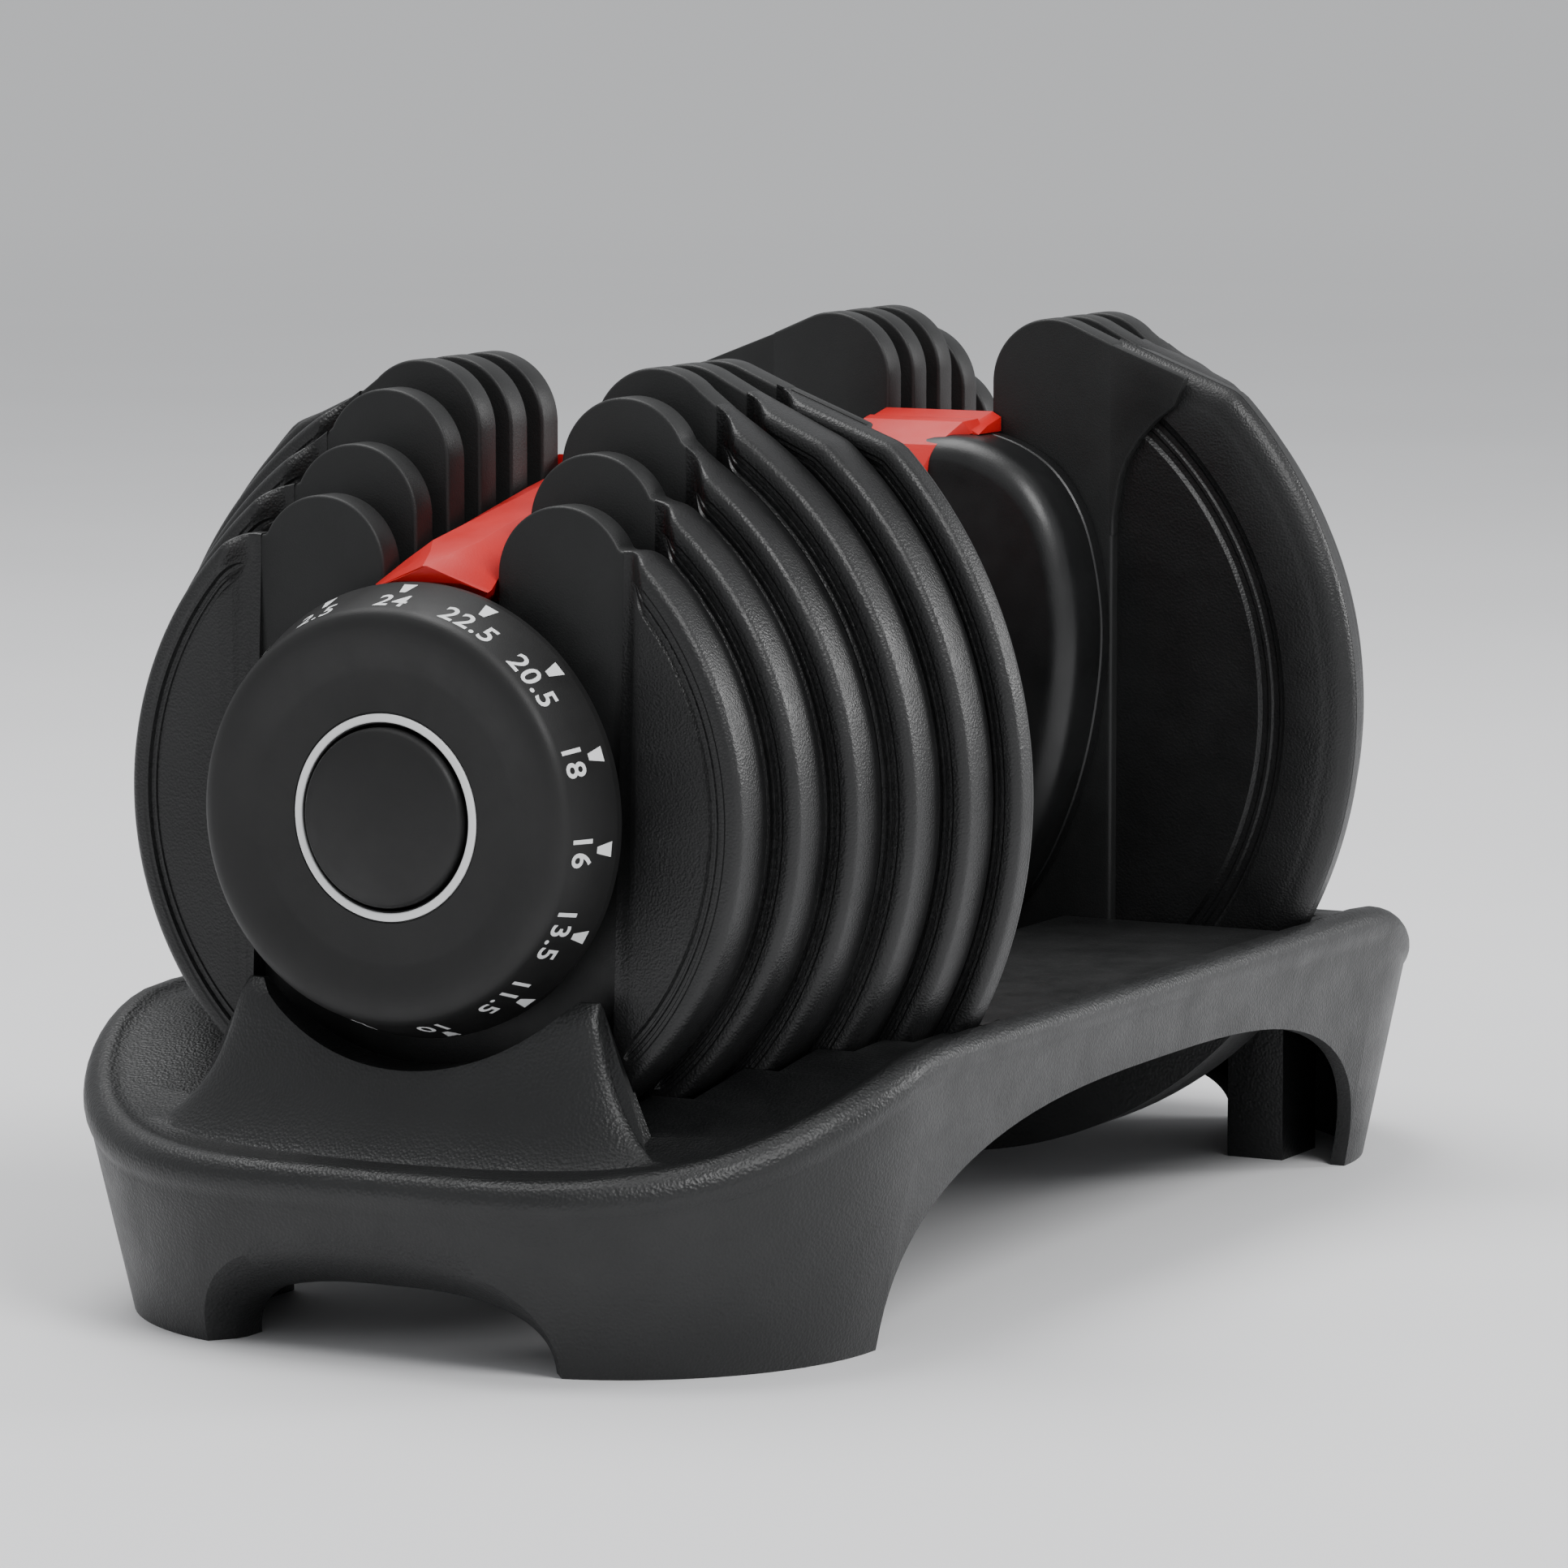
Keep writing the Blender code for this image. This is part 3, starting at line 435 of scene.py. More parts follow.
def metal(name, color, rough, stretch):
    """Drawn or machined steel: fine streaks along or round the handle."""
    made, nodes, links, shader = new_material(name)
    coords = nodes.new("ShaderNodeTexCoord").outputs["Object"]
    mapping = nodes.new("ShaderNodeMapping")
    mapping.inputs["Scale"].default_value = stretch
    links.new(coords, mapping.inputs["Vector"])
    streak = noise(nodes, links, mapping.outputs["Vector"], scale=900.0, detail=3.0,
                   roughness=0.6)
    stain = noise(nodes, links, coords, scale=60.0, detail=4.0, roughness=0.6)
    darker = tuple(part * 0.82 for part in color)
    links.new(two_tone(nodes, links, stain, darker, color), shader.inputs["Base Color"])
    links.new(spread(nodes, links, streak, rough - 0.08, rough + 0.1, (0.3, 0.7)),
              shader.inputs["Roughness"])
    shader.inputs["Metallic"].default_value = 1.0
    links.new(bump(nodes, links, streak, 0.02, 0.5), shader.inputs["Normal"])
    return made


PLATE = pebbled("plate_coating", (0.0055, 0.0056, 0.0058), (0.010, 0.0102, 0.0104),
                rough=0.40, pebble=0.6, depth=0.11, specular=0.45)
LOBE = moulded("plate_face", (0.0075, 0.0078, 0.0078), (0.0125, 0.013, 0.013),
               rough=0.5, grain=0.5, depth=0.06, specular=0.4)
TRAY = pebbled("tray_plastic", (0.006, 0.0064, 0.0066), (0.0105, 0.011, 0.0112),
               rough=0.42, pebble=0.75, depth=0.17, specular=0.45)
DIAL = moulded("dial_plastic", (0.006, 0.006, 0.006), (0.010, 0.010, 0.010),
               rough=0.5, grain=0.35, depth=0.03, specular=0.38)
GUARD = moulded("guard_plastic", (0.005, 0.0052, 0.0054), (0.008, 0.0083, 0.0085),
                rough=0.37, grain=0.6, depth=0.03)
RED = moulded("pointer_red", (0.50, 0.008, 0.008), (0.62, 0.013, 0.011),
              rough=0.44, grain=0.6, depth=0.03, specular=0.38)
RUBBER = moulded("grip_rubber", (0.010, 0.010, 0.010), (0.018, 0.018, 0.018),
                 rough=0.7, grain=0.5, depth=0.06, specular=0.3)
NYLON = moulded("disc_nylon", (0.045, 0.045, 0.05), (0.07, 0.07, 0.075),
                rough=0.5, grain=0.5, depth=0.03)
WHITE = moulded("print_white", (0.70, 0.71, 0.71), (0.82, 0.83, 0.83),
                rough=0.45, grain=0.4, depth=0.02)
STEEL = metal("bright_steel", (0.56, 0.56, 0.57), rough=0.3, stretch=(0.05, 1.0, 1.0))
SPRING = metal("spring_steel", (0.40, 0.40, 0.42), rough=0.3, stretch=(1.0, 0.1, 1.0))


# ---------------------------------------------------------------- plates

def plate_start(number):
    return PLATE_START + (6 - number) * PLATE_PITCH


def lobe_end(number):
    """Where a lobe's round top runs into the half-moon's upper edge."""
    angle = math.radians(LOBE_END_ANGLES[number])
    return Vector((SLOT_HALF + LOBE_RADIUS + LOBE_RADIUS * math.cos(angle),
                   LOBE_TOPS[number] - LOBE_RADIUS + LOBE_RADIUS * math.sin(angle)))


def pad_edge(number):
    """Dense outline of a half-moon from left of its chord at the top round to below it,
    with the outward normal at each point; the corner onto the rim is rounded."""
    radius = PLATE_RADII[number]
    first = lobe_end(number)
    corner = Vector((RIM_START[number], math.sqrt(radius ** 2 - RIM_START[number] ** 2)))
    along = (corner - first).normalized()
    tangent = Vector((corner.y, -corner.x)).normalized()
    turn = along.angle(tangent)
    reach = min(CORNER_FILLET * math.tan(turn / 2), (corner - first).length * 0.6)
    start = first - along * 22.0
    points = [start.lerp(corner - along * reach, step / 24) for step in range(25)]
    angle_from = math.atan2(corner.y, corner.x) - reach / radius
    after = Vector((math.cos(angle_from), math.sin(angle_from))) * radius
    before = points[-1]
    for step in range(1, 12):
        t = step / 12
        points.append(before * (1 - t) ** 2 + corner * 2 * t * (1 - t) + after * t * t)
    last = -math.acos((CHORD - INSIDE_CHORD) / radius)
    for step in range(111):
        angle = angle_from + (last - angle_from) * step / 110
        points.append(Vector((math.cos(angle), math.sin(angle))) * radius)
    normals = []
    for index, point in enumerate(points):
        run = points[min(index + 1, len(points) - 1)] - points[max(index - 1, 0)]
        normals.append(Vector((-run.y, run.x)).normalized())
    return points, normals


def round_edge(radius):
    """As pad_edge, for a plain circle."""
    last = -math.acos((CHORD - INSIDE_CHORD) / radius)
    first = math.radians(80)
    normals = []
    for step in range(161):
        angle = first + (last - first) * step / 160
        normals.append(Vector((math.cos(angle), math.sin(angle))))
    return [normal * radius for normal in normals], normals


def pad_ring(edge, inset, chord, count=140):
    """The half-moon's edge moved in by inset, cut off at the chord and spaced evenly."""
    moved = [point - normal * inset for point, normal in zip(*edge)]
    kept = []
    for here, there in zip(moved, moved[1:]):
        if here.x < chord <= there.x or there.x < chord <= here.x:
            kept.append(here.lerp(there, (chord - here.x) / (there.x - here.x)))
        if there.x > chord:
            kept.append(there)
    lengths = [0.0]
    for here, there in zip(kept, kept[1:]):
        lengths.append(lengths[-1] + (there - here).length)
    ring = []
    at = 0
    for step in range(count):
        want = lengths[-1] * step / (count - 1)
        while at < len(kept) - 2 and lengths[at + 1] < want:
            at += 1
        span = max(lengths[at + 1] - lengths[at], 1e-9)
        ring.append(kept[at].lerp(kept[at + 1], min(1.0, (want - lengths[at]) / span)))
    return ring, lengths[-1]


def channel(edge, level, middle, half, depth, chord):
    """Rings of a shallow channel beside the rim that closes in a rounded end each way."""
    rings = []
    base, length = pad_ring(edge, middle, chord)
    count = len(base)
    for offset, drop in ((-1.0, 0.0), (-0.72, 1.0), (-0.28, 1.0), (-0.12, 0.55), (0.12, 0.55),
                         (0.28, 1.0), (0.72, 1.0), (1.0, 0.0)):
        side, _ = pad_ring(edge, middle + half * offset, chord)
        ring = []
        for index in range(count):
            run = length * min(index, count - 1 - index) / (count - 1) - 4.0
            open_by = max(0.0, min(1.0, run / (2.2 * half)))
            share = math.sqrt(1 - (1 - open_by) ** 2)
            point = base[index].lerp(side[index], share)
            if share == 0.0:
                point = base[index].lerp(side[index], 0.04)
            ring.append((level - depth * drop * min(1.0, share * 1.5), point.x, point.y))
        rings.append(ring)
    return rings


def ease_corner(point, face, top):
    """Slope the half-moon's upper corner down to the lobes' face, where it meets them."""
    u, v, w = point
    if u <= face:
        return point
    away = min(1.0, max(0.0, (v - CHORD - UNDER_PAD) / 7.0))
    high = min(1.0, max(0.0, (w - top + 26.0) / 16.0))
    share = 1 - high * (1 - away * away * (3 - 2 * away))
    if share < 1.0:
        u = face + 0.1 + (u - face - 0.1) * share
    return (u, v, w)


def pad(number, finish, inner_face):
    """A raised half-moon: rim side, broad rounded shoulder, channel and flat face."""
    edge = pad_edge(number)
    inner = round_edge(PLATE_RADII[number])
    top = plate_start(number) + PAD_THICKNESS
    start = plate_start(number)
    rings = []

    def plain(level, inset, along=edge):
        ring, _ = pad_ring(along, inset, CHORD)
        rings.append([(level, point.x, point.y) for point in ring])

    if inner_face:
        recess = start + INNER_RECESS
        rings += reversed(channel(inner, recess, middle=22.5, half=3.2, depth=-1.0, chord=CHORD))
        plain(recess - 0.1, 18.9, inner)
        plain(recess - 0.9, 17.8, inner)
        plain(recess - 0.7, 8.4)
        plain(recess - 0.3, 7.4)
        for step in range(1, 8):
            angle = math.pi / 2 * step / 7
            plain(recess + INNER_SHOULDER[0] * (1 - math.cos(angle)),
                  INNER_SHOULDER[1] * (1 - math.sin(angle)))
    else:
        plain(start, 1.4)
        plain(start + 0.4, 0.6)
        plain(start + 1.2, 0.3)
        plain(start + 4.3, 0.05)
    plain(start + 7.8, 0.0)
    plain(top - 2.9, 0.25)
    for step in range(8):
        angle = math.pi / 2 * step / 7
        plain(top - SHOULDER[0] * (1 - math.sin(angle)),
              SHOULDER_INSET + SHOULDER[1] * (1 - math.cos(angle)))
    plain(top - 0.05, 4.0)
    plain(top - FACE_DROP, 4.5)
    rings += channel(edge, top - FACE_DROP, middle=6.9, half=1.7, depth=0.9, chord=CHORD)
    rings = [[ease_corner(point, start + BAND_THICKNESS, rings[0][0][2]) for point in ring]
             for ring in rings]
    count = len(rings[0])
    verts = [point for ring in rings for point in ring]
    faces = []
    for level in range(len(rings) - 1):
        base = level * count
        for index in range(count - 1):
            faces.append((base + index, base + index + 1, base + count + index + 1,
                          base + count + index))
    last = (len(rings) - 1) * count
    faces.append(tuple(range(count)))
    faces.append(tuple(range(last, last + count)))
    head = [level * count for level in range(len(rings))]
    foot = [level * count + count - 1 for level in range(len(rings))]
    faces.append(tuple(head + foot[::-1]))
    return mesh_object("pad", verts, faces, finish, 28)


def band(number, finish):
    """The recessed middle of a plate, with its slot and the two lobes beside it."""
    radius = PLATE_RADII[number]
    lobe = (SLOT_HALF + LOBE_RADIUS, LOBE_TOPS[number] - LOBE_RADIUS)
    right = arc((0, 0), SLOT_HALF, -90, 0, 16)
    right += arc(lobe, LOBE_RADIUS, 180, LOBE_END_ANGLES[number], 40)
    end = lobe_end(number)
    corner = Vector((RIM_START[number], math.sqrt(radius ** 2 - RIM_START[number] ** 2)))
    inside = CHORD + UNDER_PAD
    if inside > end.x:
        share = (inside - end.x) / (corner.x - end.x)
        right.append((inside, end.y + share * (corner.y - end.y) - 0.5))
    right.append((inside, -math.sqrt(radius ** 2 - inside ** 2) + 0.5))
    first = -math.degrees(math.acos(CHORD / radius))
    right += arc((0, 0), radius, first, -90, 20)
    outline = right + [(-v, w) for v, w in reversed(right[1:-1])]
    start = plate_start(number)
    item = prism("band", outline, start, start + BAND_THICKNESS, finish)
    return bevel(item, 0.85, 3, 50)


def plate(end, number):
    """One plate in two pieces: the band with its details, and the pair of half-moons."""
    side = ENDS[end]
    item = band(number, LOBE)
    pads = pad(number, PLATE, number == 6)
    left_pad = mirrored(pad(number, PLATE, number == 6), 1)
    start = plate_start(number)
    face = start + BAND_THICKNESS
    details = []
    if number == 6:
        for across in (1, -1):
            wing = [(across * v, w) for v, w in INNER_WING]
            details.append(bevel(prism("wing", wing, start + 0.02, start + 3.6, LOBE), 0.7))
    inner, outer = TAB_RADII
    tab = arc((0, 0), inner, -98, -82, 8) + arc((0, 0), outer, -82, -98, 8)
    details.append(bevel(prism("tab", tab, face - 1.0, face + 3.0, LOBE), 0.4))
    item.name = f"{end}_plate_{number}_body"
    join(pads, [left_pad])
    pads.name = f"{end}_plate_{number}_pads"
    smooth(pads, 28)
    join(item, details)
    smooth(item, 40)
    place(item, side, f"{end}_plate_{number}", "plate_coating", f"{end}_plate_{number}")
    place(pads, side, f"{end}_plate_{number}", "plate_coating")


# ---------------------------------------------------------------- dials

def dial(end):
    """Dial with its numbers, the pale ring on its face and the domed cap inside the ring."""
    side = ENDS[end]
    body = f"{end}_dial_set"
    hub = plate_start(1) + 14.7
    profile = [(186.5, HUB_RADIUS), (hub, HUB_RADIUS), (hub, AXLE_BORE), (190.2, AXLE_BORE),
               (190.2, 21.5), (196.2, 21.5), (196.8, 21.7), (197.6, 21.8), (197.6, 24.3),
               (197.9, 24.5), (198.0, 33.6), (198.2, 35.2), (199.1, 38.0), (199.8, 41.0),
               (DIAL_FACE, 43.4), (199.8, 45.4), (199.2, 46.9), (198.4, 47.9), CONE_FRONT,
               CONE_BACK, (183.4, 53.0), (181.4, 52.9), (181.0, 52.4), (181.0, 49.9),
               (195.0, 44.0), (186.5, 41.0)]
    item = turned(f"{end}_dial_body", profile, DIAL, 180, 30)
    place(item, side, body, "dial_plastic", f"{end}_dial")
    ring = turned(f"{end}_dial_ring", [(197.4, 22.1), (198.05, 22.1), (198.2, 22.3),
                                       (198.2, 23.8), (198.05, 24.0), (197.4, 24.0)], WHITE, 180)
    place(ring, side, body, "dial_plastic")
    rim = 199.9
    crown = [(195.0, 19.0), (195.0, 20.9), (198.6, 20.9), (199.3, 20.6), (rim, CAP_RADIUS)]
    crown += [(rim + CAP_CROWN * (1 - (radius / CAP_RADIUS) ** 2), radius)
              for radius in (17, 14, 11, 8, 5, 2)]
    cap = turned(f"{end}_dial_crown", crown + [(202.3, 0.0), (195.0, 0.0)], DIAL, 120)
    place(cap, side, body, "dial_plastic", f"{end}_dial_cap")
    labels(end)


def on_cone(along, slant, lift):
    """A point on the number band: along it in mm clockwise from the top, and up it."""
    span = Vector(CONE_BACK) - Vector(CONE_FRONT)
    at = Vector(CONE_FRONT) + span.normalized() * slant
    out = Vector((-span.y, span.x)).normalized()
    if out.y < 0:
        out = -out
    at = at + out * lift
    angle = along / NUMBER_RADIUS
    return (at.x, at.y * math.sin(angle), at.y * math.cos(angle))


def labels(end):
    """Printed numbers and pointers, one for each setting, wrapped on the number band."""
    side = ENDS[end]
    work = bmesh.new()
    for step, text in enumerate(DIAL_LABELS):
        turn = 2 * math.pi * NUMBER_RADIUS * step / len(DIAL_LABELS)
        curve = bpy.data.curves.new("label", "FONT")
        curve.body = text
        curve.size = 8.0
        curve.space_character = 1.12
        curve.align_x = "CENTER"
        curve.resolution_u = 4
        curve.offset = 0.13
        shape = bpy.data.objects.new("label", curve)
        bpy.context.scene.collection.objects.link(shape)
        graph = bpy.context.evaluated_depsgraph_get()
        flat = bpy.data.meshes.new_from_object(shape.evaluated_get(graph))
        bpy.data.objects.remove(shape, do_unlink=True)
        fine = bmesh.new()
        fine.from_mesh(flat)
        bmesh.ops.subdivide_edges(fine, edges=fine.edges, cuts=1, use_grid_fill=True)
        for vertex in fine.verts:
            point = on_cone(turn + vertex.co.x * 0.98, 0.9 + vertex.co.y * 1.02, PRINT_LIFT)
            vertex.co = Vector(point) * MM
        fine.to_mesh(flat)
        fine.free()
        work.from_mesh(flat)
        corners = [work.verts.new(Vector(on_cone(turn + x, y, PRINT_LIFT)) * MM) for x, y in MARK]
        work.faces.new(corners)
    for face in work.faces:
        centre = face.calc_center_median()
        if face.normal.dot(Vector((0, centre.y, centre.z))) < 0:
            face.normal_flip()
    mesh = bpy.data.meshes.new(f"{end}_dial_numbers")
    work.to_mesh(mesh)
    work.free()
    mesh.materials.append(WHITE)
    item = bpy.data.objects.new(f"{end}_dial_numbers", mesh)
    bpy.context.scene.collection.objects.link(item)
    place(item, side, f"{end}_dial_set", "dial_plastic")


# ---------------------------------------------------------------- guard and pointer

def guard_ring(u, grow=0.0):
    """The guard's outline at u, moved out from its middle by grow."""
    outline = list(GUARD_OUTLINE) + [(-v, w) for v, w in reversed(GUARD_OUTLINE[1:-1])]
    points = []
    for v, w in spline(outline, 6):
        away = Vector((v, w - GUARD_MIDDLE))
        away.length += grow
        points.append((u, away.x, GUARD_MIDDLE + away.y))
    return points


def screw_prisms(name, radius, sides, start, end):
    """One round prism at each of the guard's two screws."""
    last = 360 * (sides - 1) / sides
    return [prism(name, arc(centre, radius, 0, last, sides - 1), start, end, GUARD)
            for centre in GUARD_SCREWS]


def guard(end):
    """Hand guard in two halves: a hollow dome with screw posts, and the cover behind it."""
    side = ENDS[end]
    rise, inset = GUARD_SHOULDER
    sections = [guard_ring(61.5, -30.0), guard_ring(61.9, -18.0), guard_ring(GUARD_FACE, -9.5)]
    for step in range(1, 13):
        angle = math.pi / 2 * step / 12
        sections.append(guard_ring(GUARD_FACE + rise * (1 - math.cos(angle)),
                                   -inset * (1 - math.sin(angle))))
    sections += [guard_ring(81.2), guard_ring(GUARD_SPLIT, -0.6)]
    body = loft("guard", sections, GUARD, 50)
    hollow = loft("hollow", [guard_ring(65.0, -14.5), guard_ring(68.5, -7.6),
                             guard_ring(74.0, -3.0), guard_ring(90.0, -3.0)], GUARD)
    combine(body, [hollow], "DIFFERENCE")
    combine(body, screw_prisms("post", POST_RADIUS, 24, 66.5, GUARD_SPLIT), "UNION")
    cuts = screw_prisms("pilot", PILOT_RADIUS, 12, 72.0, 90.0)
    cuts.append(prism("bore", arc((0, 0), AXLE_BORE, 0, 354, 59), 50.0, 70.0, GUARD))
    cuts.append(box("stem", (69.1, 73.9), (-5.4, 5.4), (-80, -50), GUARD))
    combine(body, cuts, "DIFFERENCE")
    smooth(body, 40)
    body.name = f"{end}_guard_dome"
    place(body, side, "handle", "guard_plastic", f"{end}_guard_shell")
    cover = loft("cover", [guard_ring(82.3, -0.4), guard_ring(82.7), guard_ring(86.9),
                           guard_ring(87.5, -0.3), guard_ring(87.8, -1.0)], GUARD, 50)
    holes = [prism("bore", arc((0, 0), COVER_BORE, 0, 354, 59), 80.0, 90.0, GUARD)]
    for hole, sink in zip(screw_prisms("hole", PILOT_RADIUS, 12, 80.0, 90.0),
                          screw_prisms("sink", SINK_RADIUS, 24, 85.0, 90.0)):
        holes += [hole, sink]
    combine(cover, holes, "DIFFERENCE")
    smooth(cover, 40)
    cover.name = f"{end}_guard_back"
    place(cover, side, "handle", "guard_plastic", f"{end}_guard_cover")


def bridge(end):
    """Red pointer: faceted hood over the dial, beam, T on the guard and its tongue."""
    side = ENDS[end]
    sections = []
    for u, half, ridge, edge, bottom in BEAM_ROWS:
        sections.append([(u, -half, edge), (u, -half * 0.8, bottom), (u, half * 0.8, bottom),
                         (u, half, edge), (u, half * 0.45, ridge), (u, -half * 0.45, ridge)])
    item = loft("beam", sections + [HOOD_BACK, HOOD_FRONT], RED, 20)
    head = []
    for u, crest in HEAD_CRESTS:
        edge = crest - HEAD_SLOPE
        head.append([(u, -HEAD_HALF, HEAD_BOTTOM), (u, HEAD_HALF, HEAD_BOTTOM),
                     (u, HEAD_HALF, edge), (u, HEAD_CREST_HALF, crest),
                     (u, -HEAD_CREST_HALF, crest), (u, -HEAD_HALF, edge)])
    rings = []
    for (u, w, half), (du, dw) in TONGUE_ROWS:
        rings.append([(u, -half, w), (u, half, w), (u + du, half * 0.9, w + dw),
                      (u + du, -half * 0.9, w + dw)])
    combine(item, [loft("head", head, RED), loft("tongue", rings, RED)], "UNION")
    bevel(item, 0.5, 2, 18)
    smooth(item, 30)
    item.name = f"{end}_pointer"
    place(item, side, "handle", "pointer_red", f"{end}_pointer_bridge")


# ---------------------------------------------------------------- grip

def grip():
    """Rubber sleeve, fuller in the middle, with shallow grooves near its collars."""
    outer = []
    steps = 320
    for step in range(steps + 1):
        u = GRIP_END - 2 * GRIP_END * step / steps
        radius = GRIP_RADIUS + GRIP_SWELL * math.cos(math.pi * u / (2 * GRIP_END))
        for groove in GRIP_GROOVES:
            radius -= GROOVE_DEPTH * math.exp(-((u - groove) / GROOVE_WIDTH) ** 2)
        from_end = GRIP_END - abs(u)
        if from_end < GRIP_EDGE:
            radius -= GRIP_EDGE - math.sqrt(GRIP_EDGE ** 2 - (GRIP_EDGE - from_end) ** 2)
        outer.append((u, radius))
    bore = [(-GRIP_END, GRIP_BORE), (GRIP_END, GRIP_BORE)]
    item = turned("grip_rubber_sleeve", bore + outer, RUBBER, 120)
    place(item, 1, "handle", "grip_rubber", "grip_sleeve")


# ---------------------------------------------------------------- tray

def rim_height(x):
    """Height of the tray's rim: level along the middle, falling to each end."""
    far = max(0.0, abs(x) - RIM_FALL_FROM) / (TRAY_LIP[0] - RIM_FALL_FROM)
    ease = far * far * (3 - 2 * far)
    return RIM_SIDE + (RIM_END - RIM_SIDE) * min(1.0, ease)


def tray_plan(size):
    """Outline of the tray from (half length, half width, corner radius), its ends bowed."""
    length, width, corner = size
    quarter = [(length, (width - corner) * step / 5) for step in range(5)]
    quarter += arc((length - corner, width - corner), corner, 0, 90, 22)
    quarter += [((length - corner) * (1 - step / 12), width) for step in range(1, 13)]
    bowed = [(x - TRAY_BOW * (y / width) ** 2 * x / length, y) for x, y in quarter]
    half = bowed + [(-x, y) for x, y in reversed(bowed[:-1])]
    return half + [(x, -y) for x, y in reversed(half[1:-1])]


def tray_ring(size, drop, level=None):
    return [(x, y, level if level is not None else rim_height(x) + drop)
            for x, y in tray_plan(size)]


def tray_loft(name, rings, finish):
    """Loft whose top is closed by strips across it, because its last ring isn't flat."""
    count = len(rings[0])
    verts = [point for ring in rings for point in ring]
    faces = [tuple(range(count))] + side_faces(len(rings), count)
    top = (len(rings) - 1) * count
    for index in range(count // 2):
        corners = [top + index, top + index + 1, top + (count - index - 1) % count,
                   top + (count - index) % count]
        faces.append(tuple(dict.fromkeys(corners)))
    return mesh_object(name, verts, faces, finish)


def cradle(name, gap, ends, step, tail, finish):
    """Stepped round solid that follows the six plates' rims at a distance of gap."""
    profile = [(ends[0], 0.0)]
    for number in (6, 5, 4, 3, 2, 1):
        radius = PLATE_RADII[number] + gap
        start = ends[0] if number == 6 else plate_start(number) + step
        end = ends[1] if number == 1 else plate_start(number - 1) + step
        profile += [(start, radius), (end, radius)]
    return turned(name, profile + tail, finish, 144)


def saddle_front(across):
    """How far out the bowed foot of a saddle comes, from -1 to 1 across it."""
    return SADDLE_FOOT + SADDLE_BOW * math.sqrt(1 - 0.96 * across ** 2)


def saddle(name, finish):
    """Block that guards the dial: a broad sloping front, bowed at its foot, and two ears."""
    rings = []
    for step in range(41):
        turn = 0.497 * math.pi * (step / 20 - 1)
        across = math.sin(turn)
        foot = saddle_front(across)
        base = rim_height(foot) - 3.0
        tuck = 5.0 * (1 - math.cos(turn) ** 0.35)
        ring = [(SADDLE_BACK, SADDLE_FOOT_HALF * across, SADDLE_BOTTOM),
                (foot - 0.5, SADDLE_FOOT_HALF * across, SADDLE_BOTTOM)]
        for level in range(12, -1, -1):
            down = level / 12
            half = SADDLE_TOP_HALF + SADDLE_SPREAD * (0.45 * down + 0.55 * down ** 4)
            out = SADDLE_RIDGE + (foot - SADDLE_RIDGE) * (0.72 * down + 0.28 * down ** 5)
            rounding = 4.0 * max(0.0, 1 - down / 0.14) ** 2
            ring.append((max(SADDLE_BACK + 0.4, out - tuck * (1 - down ** 3) - rounding * 0.7),
                         half * across, SADDLE_TOP + (base - SADDLE_TOP) * down))
        ring.append((SADDLE_BACK, SADDLE_TOP_HALF * across, SADDLE_TOP))
        rings.append(ring)
    return loft(name, rings, finish)


def saddle_core(name, finish):
    """Plain block under a saddle, which the tray's hollow goes round."""
    rings = []
    for step in range(33):
        across = step / 16 - 1
        front = saddle_front(across)
        foot = SADDLE_CORE_HALF * across
        rings.append([(SADDLE_BACK, foot, SADDLE_BOTTOM), (front - 1.0, foot, SADDLE_BOTTOM),
                      (front, foot, rim_height(front) - 3.0),
                      (SADDLE_RIDGE, SADDLE_TOP_HALF * across, SADDLE_TOP),
                      (SADDLE_BACK, SADDLE_TOP_HALF * across, SADDLE_TOP)])
    return loft(name, rings, finish)


def arch(name, sections, across, finish):
    """Arched solid through one wall, lofted from (half width, height, distance out, lean)."""
    rings = []
    for half, height, depth, lean in sections:
        outline = [(-half, -5.0), (half, -5.0)]
        for step in range(49):
            angle = math.pi * step / 48
            reach = math.copysign(abs(math.cos(angle)) ** 0.7, math.cos(angle))
            outline.append((half * reach, height * math.sin(angle) ** 0.8))
        ring = []
        for along, up in outline:
            away = depth + lean * max(up, 0.0)
            level = up - AXLE_HEIGHT
            ring.append((along, away, level) if across == "y" else (away, along, level))
        rings.append(ring)
    return loft(name, rings, finish)


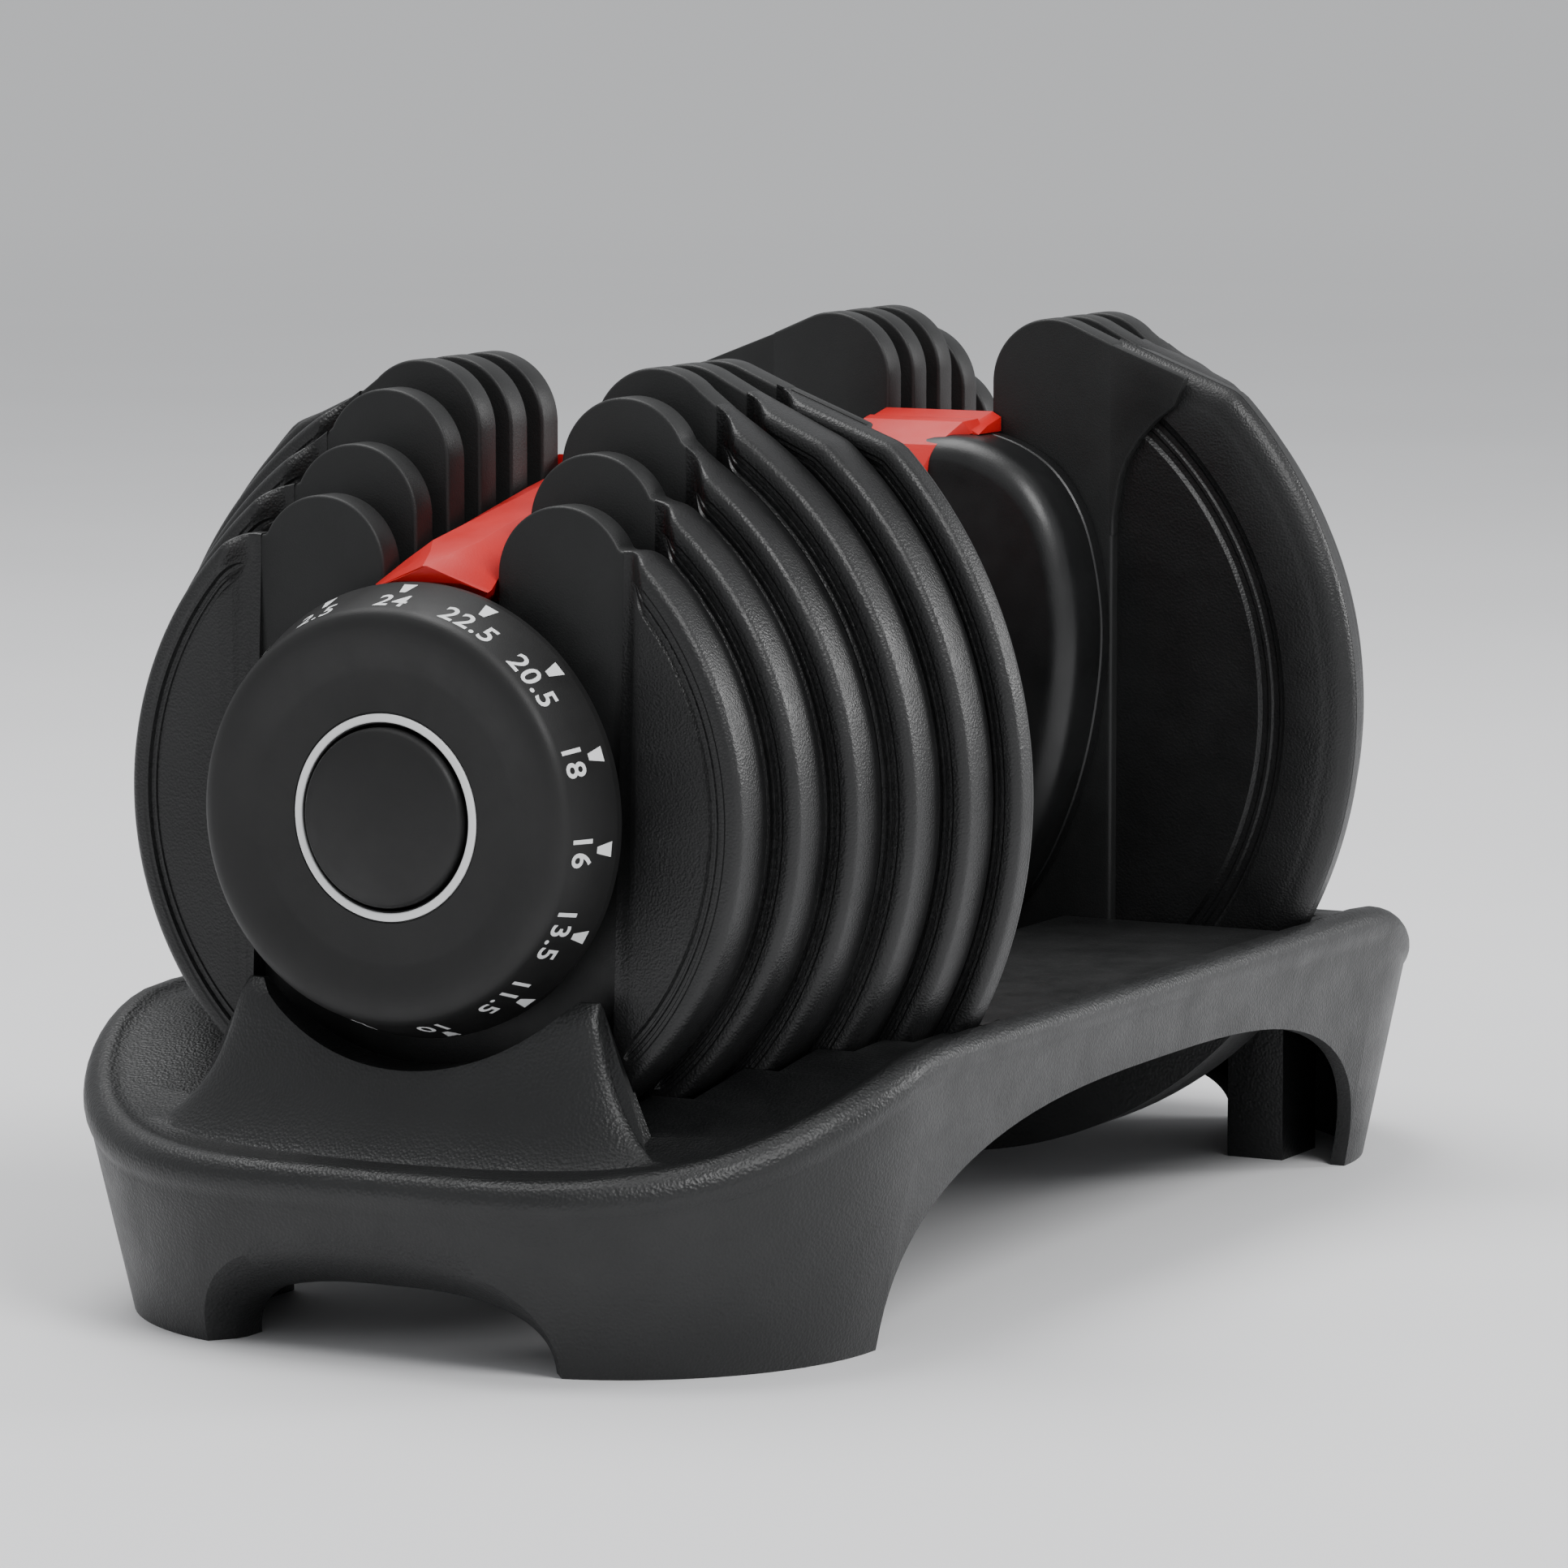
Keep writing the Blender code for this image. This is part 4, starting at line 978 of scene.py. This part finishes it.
def tray():
    """Hollow moulding: outer shape, less its inside, the arches and the room for the dumbbell."""
    floor = -AXLE_HEIGHT
    lip = []
    for step in range(17):
        angle = math.radians(-30 + 150 * step / 16)
        out = LIP_ROLL[0] * math.cos(angle) - LIP_ROLL[0]
        rise = LIP_ROLL[1] * math.sin(angle) - LIP_ROLL[1]
        lip.append(tray_ring(tuple(part + out for part in TRAY_LIP), rise))
    body = tray_loft("tray_body", [tray_ring(TRAY_BOTTOM, 0, floor),
                                   tray_ring(TRAY_SHOULDER, -10.4),
                                   tray_ring(TRAY_SHOULDER, -9.6)]
                     + lip + [tray_ring(TRAY_DECK_EDGE, -1.8)], TRAY)
    combine(body, [turn_to(saddle("saddle", TRAY), side) for side in (-1, 1)], "UNION")
    inner = tuple(part - TRAY_WALL for part in TRAY_BOTTOM)
    void = tray_loft("void", [
        tray_ring(inner, 0, floor - 4.0), tray_ring(inner, 0, floor + 1.0),
        tray_ring(tuple(part - TRAY_WALL for part in TRAY_SHOULDER), -14.0),
        tray_ring(tuple(part - TRAY_WALL for part in TRAY_DECK_EDGE), -6.0)], TRAY)
    keep = []
    for side in (-1, 1):
        walls = cradle("walls", CRADLE_WALLS_GAP, CRADLE_WALLS_ALONG, 3.2,
                       [(CRADLE_WALLS_ALONG[1], 0.0)], TRAY)
        keep.append(turn_to(walls, side))
        keep.append(turn_to(saddle_core("block", TRAY), side))
        keep.append(turn_to(box("well", *WELL_WALLS, TRAY), side))
        frame_piece = arch("frame", END_ARCH_FRAME, "x", TRAY)
        keep.append(frame_piece if side > 0 else mirrored(frame_piece, 0))
        for across in (-FOOT_PLACE, FOOT_PLACE):
            foot = box("foot", FOOT_ALONG, (across - FOOT_HALF, across + FOOT_HALF),
                       (floor - 20.0, -60.0), TRAY)
            keep.append(turn_to(foot, side))
    combine(void, keep, "DIFFERENCE")
    combine(body, [void], "DIFFERENCE")
    cuts = []
    for sign in (-1, 1):
        side_arch = arch("side_arch", SIDE_ARCH, "y", TRAY)
        end_arch = arch("end_arch", END_ARCH, "x", TRAY)
        cuts.append(side_arch if sign > 0 else mirrored(side_arch, 1))
        cuts.append(end_arch if sign > 0 else mirrored(end_arch, 0))
        room = cradle("room", CRADLE_ROOM_GAP, CRADLE_ROOM_ALONG, -0.4,
                      [(CRADLE_ROOM_ALONG[1], DIAL_ROOM), (240.0, DIAL_ROOM), (240.0, 0.0)], TRAY)
        cuts.append(turn_to(room, sign))
        cuts.append(turn_to(box("well_room", *WELL_ROOM, TRAY), sign))
    combine(body, cuts, "DIFFERENCE")
    bevel(body, 1.0, 3, 32)
    smooth(body, 35)
    body.name = "tray_moulding"
    place(body, 1, "tray", "tray_plastic", "tray_shell")


# ---------------------------------------------------------------- carried CAD nodes

def finish_cad_nodes():
    """Finishes for the pieces that are shown as the CAD made them."""
    finishes = {"axle": STEEL}
    for end in ENDS:
        for number in PLATE_RADII:
            finishes[f"{end}_selector_disc_{number}"] = NYLON
        for name in ("dial_washer", "dial_screw", "guard_screw_1", "guard_screw_2", "star_wheel"):
            finishes[f"{end}_{name}"] = STEEL
        finishes[f"{end}_lock_yoke"] = NYLON
        for name in ("yoke_spring", "index_spring"):
            finishes[f"{end}_{name}"] = SPRING
    for name, finish in finishes.items():
        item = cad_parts[name]
        item.data.materials.clear()
        item.data.materials.append(finish)


# ---------------------------------------------------------------- studio

def studio():
    """Pale floor that fades into the backdrop far away, three lamps and the camera."""
    made, nodes, links, shader = new_material("floor_pale")
    coords = nodes.new("ShaderNodeTexCoord").outputs["Object"]
    tone = noise(nodes, links, coords, 3.0, 3.0, 0.5)
    links.new(two_tone(nodes, links, tone, (0.78, 0.78, 0.79), (0.82, 0.82, 0.83)),
              shader.inputs["Base Color"])
    shader.inputs["Roughness"].default_value = 0.8
    reach = nodes.new("ShaderNodeVectorMath")
    reach.operation = "LENGTH"
    links.new(coords, reach.inputs[0])
    distant = nodes.new("ShaderNodeEmission")
    distant.inputs["Color"].default_value = BACKDROP
    distant.inputs["Strength"].default_value = BACKDROP_STRENGTH
    fade = nodes.new("ShaderNodeMixShader")
    links.new(spread(nodes, links, reach.outputs["Value"], 0.0, 1.0, FLOOR_FADE),
              fade.inputs["Fac"])
    links.new(shader.outputs["BSDF"], fade.inputs[1])
    links.new(distant.outputs["Emission"], fade.inputs[2])
    links.new(fade.outputs["Shader"], nodes["Material Output"].inputs["Surface"])
    mesh = bpy.data.meshes.new("studio_floor")
    corners = [(-1, -1), (1, -1), (1, 1), (-1, 1)]
    mesh.from_pydata([(x * FLOOR_REACH, y * FLOOR_REACH, 0) for x, y in corners], [],
                     [(0, 1, 2, 3)])
    mesh.materials.append(made)
    floor = bpy.data.objects.new("studio_floor", mesh)
    bpy.context.scene.collection.objects.link(floor)
    world = bpy.data.worlds.new("studio")
    world.use_nodes = True
    back = world.node_tree.nodes["Background"]
    back.inputs["Color"].default_value = BACKDROP
    back.inputs["Strength"].default_value = BACKDROP_STRENGTH
    bpy.context.scene.world = world
    for name, (spot, size, power) in LAMPS.items():
        lamp(name, spot, size, power)
    camera = bpy.data.cameras.new("camera")
    camera.lens = CAMERA_LENS
    camera.sensor_width = 36.0
    camera.clip_end = 50.0
    eye = bpy.data.objects.new("camera", camera)
    bpy.context.scene.collection.objects.link(eye)
    eye.location = CAMERA_PLACE
    aim = Vector(CAMERA_AIM) - eye.location
    eye.rotation_euler = aim.to_track_quat("-Z", "Y").to_euler()
    bpy.context.scene.camera = eye


def lamp(name, spot, size, power):
    light = bpy.data.lights.new(name, "AREA")
    light.shape = "DISK"
    light.size = size
    light.energy = power
    item = bpy.data.objects.new(name, light)
    bpy.context.scene.collection.objects.link(item)
    item.location = spot
    aim = Vector(LAMP_AIM) - Vector(spot)
    item.rotation_euler = aim.to_track_quat("-Z", "Y").to_euler()


tray()
grip()
for end_name in ENDS:
    for plate_number in PLATE_RADII:
        plate(end_name, plate_number)
    dial(end_name)
    guard(end_name)
    bridge(end_name)
finish_cad_nodes()
studio()
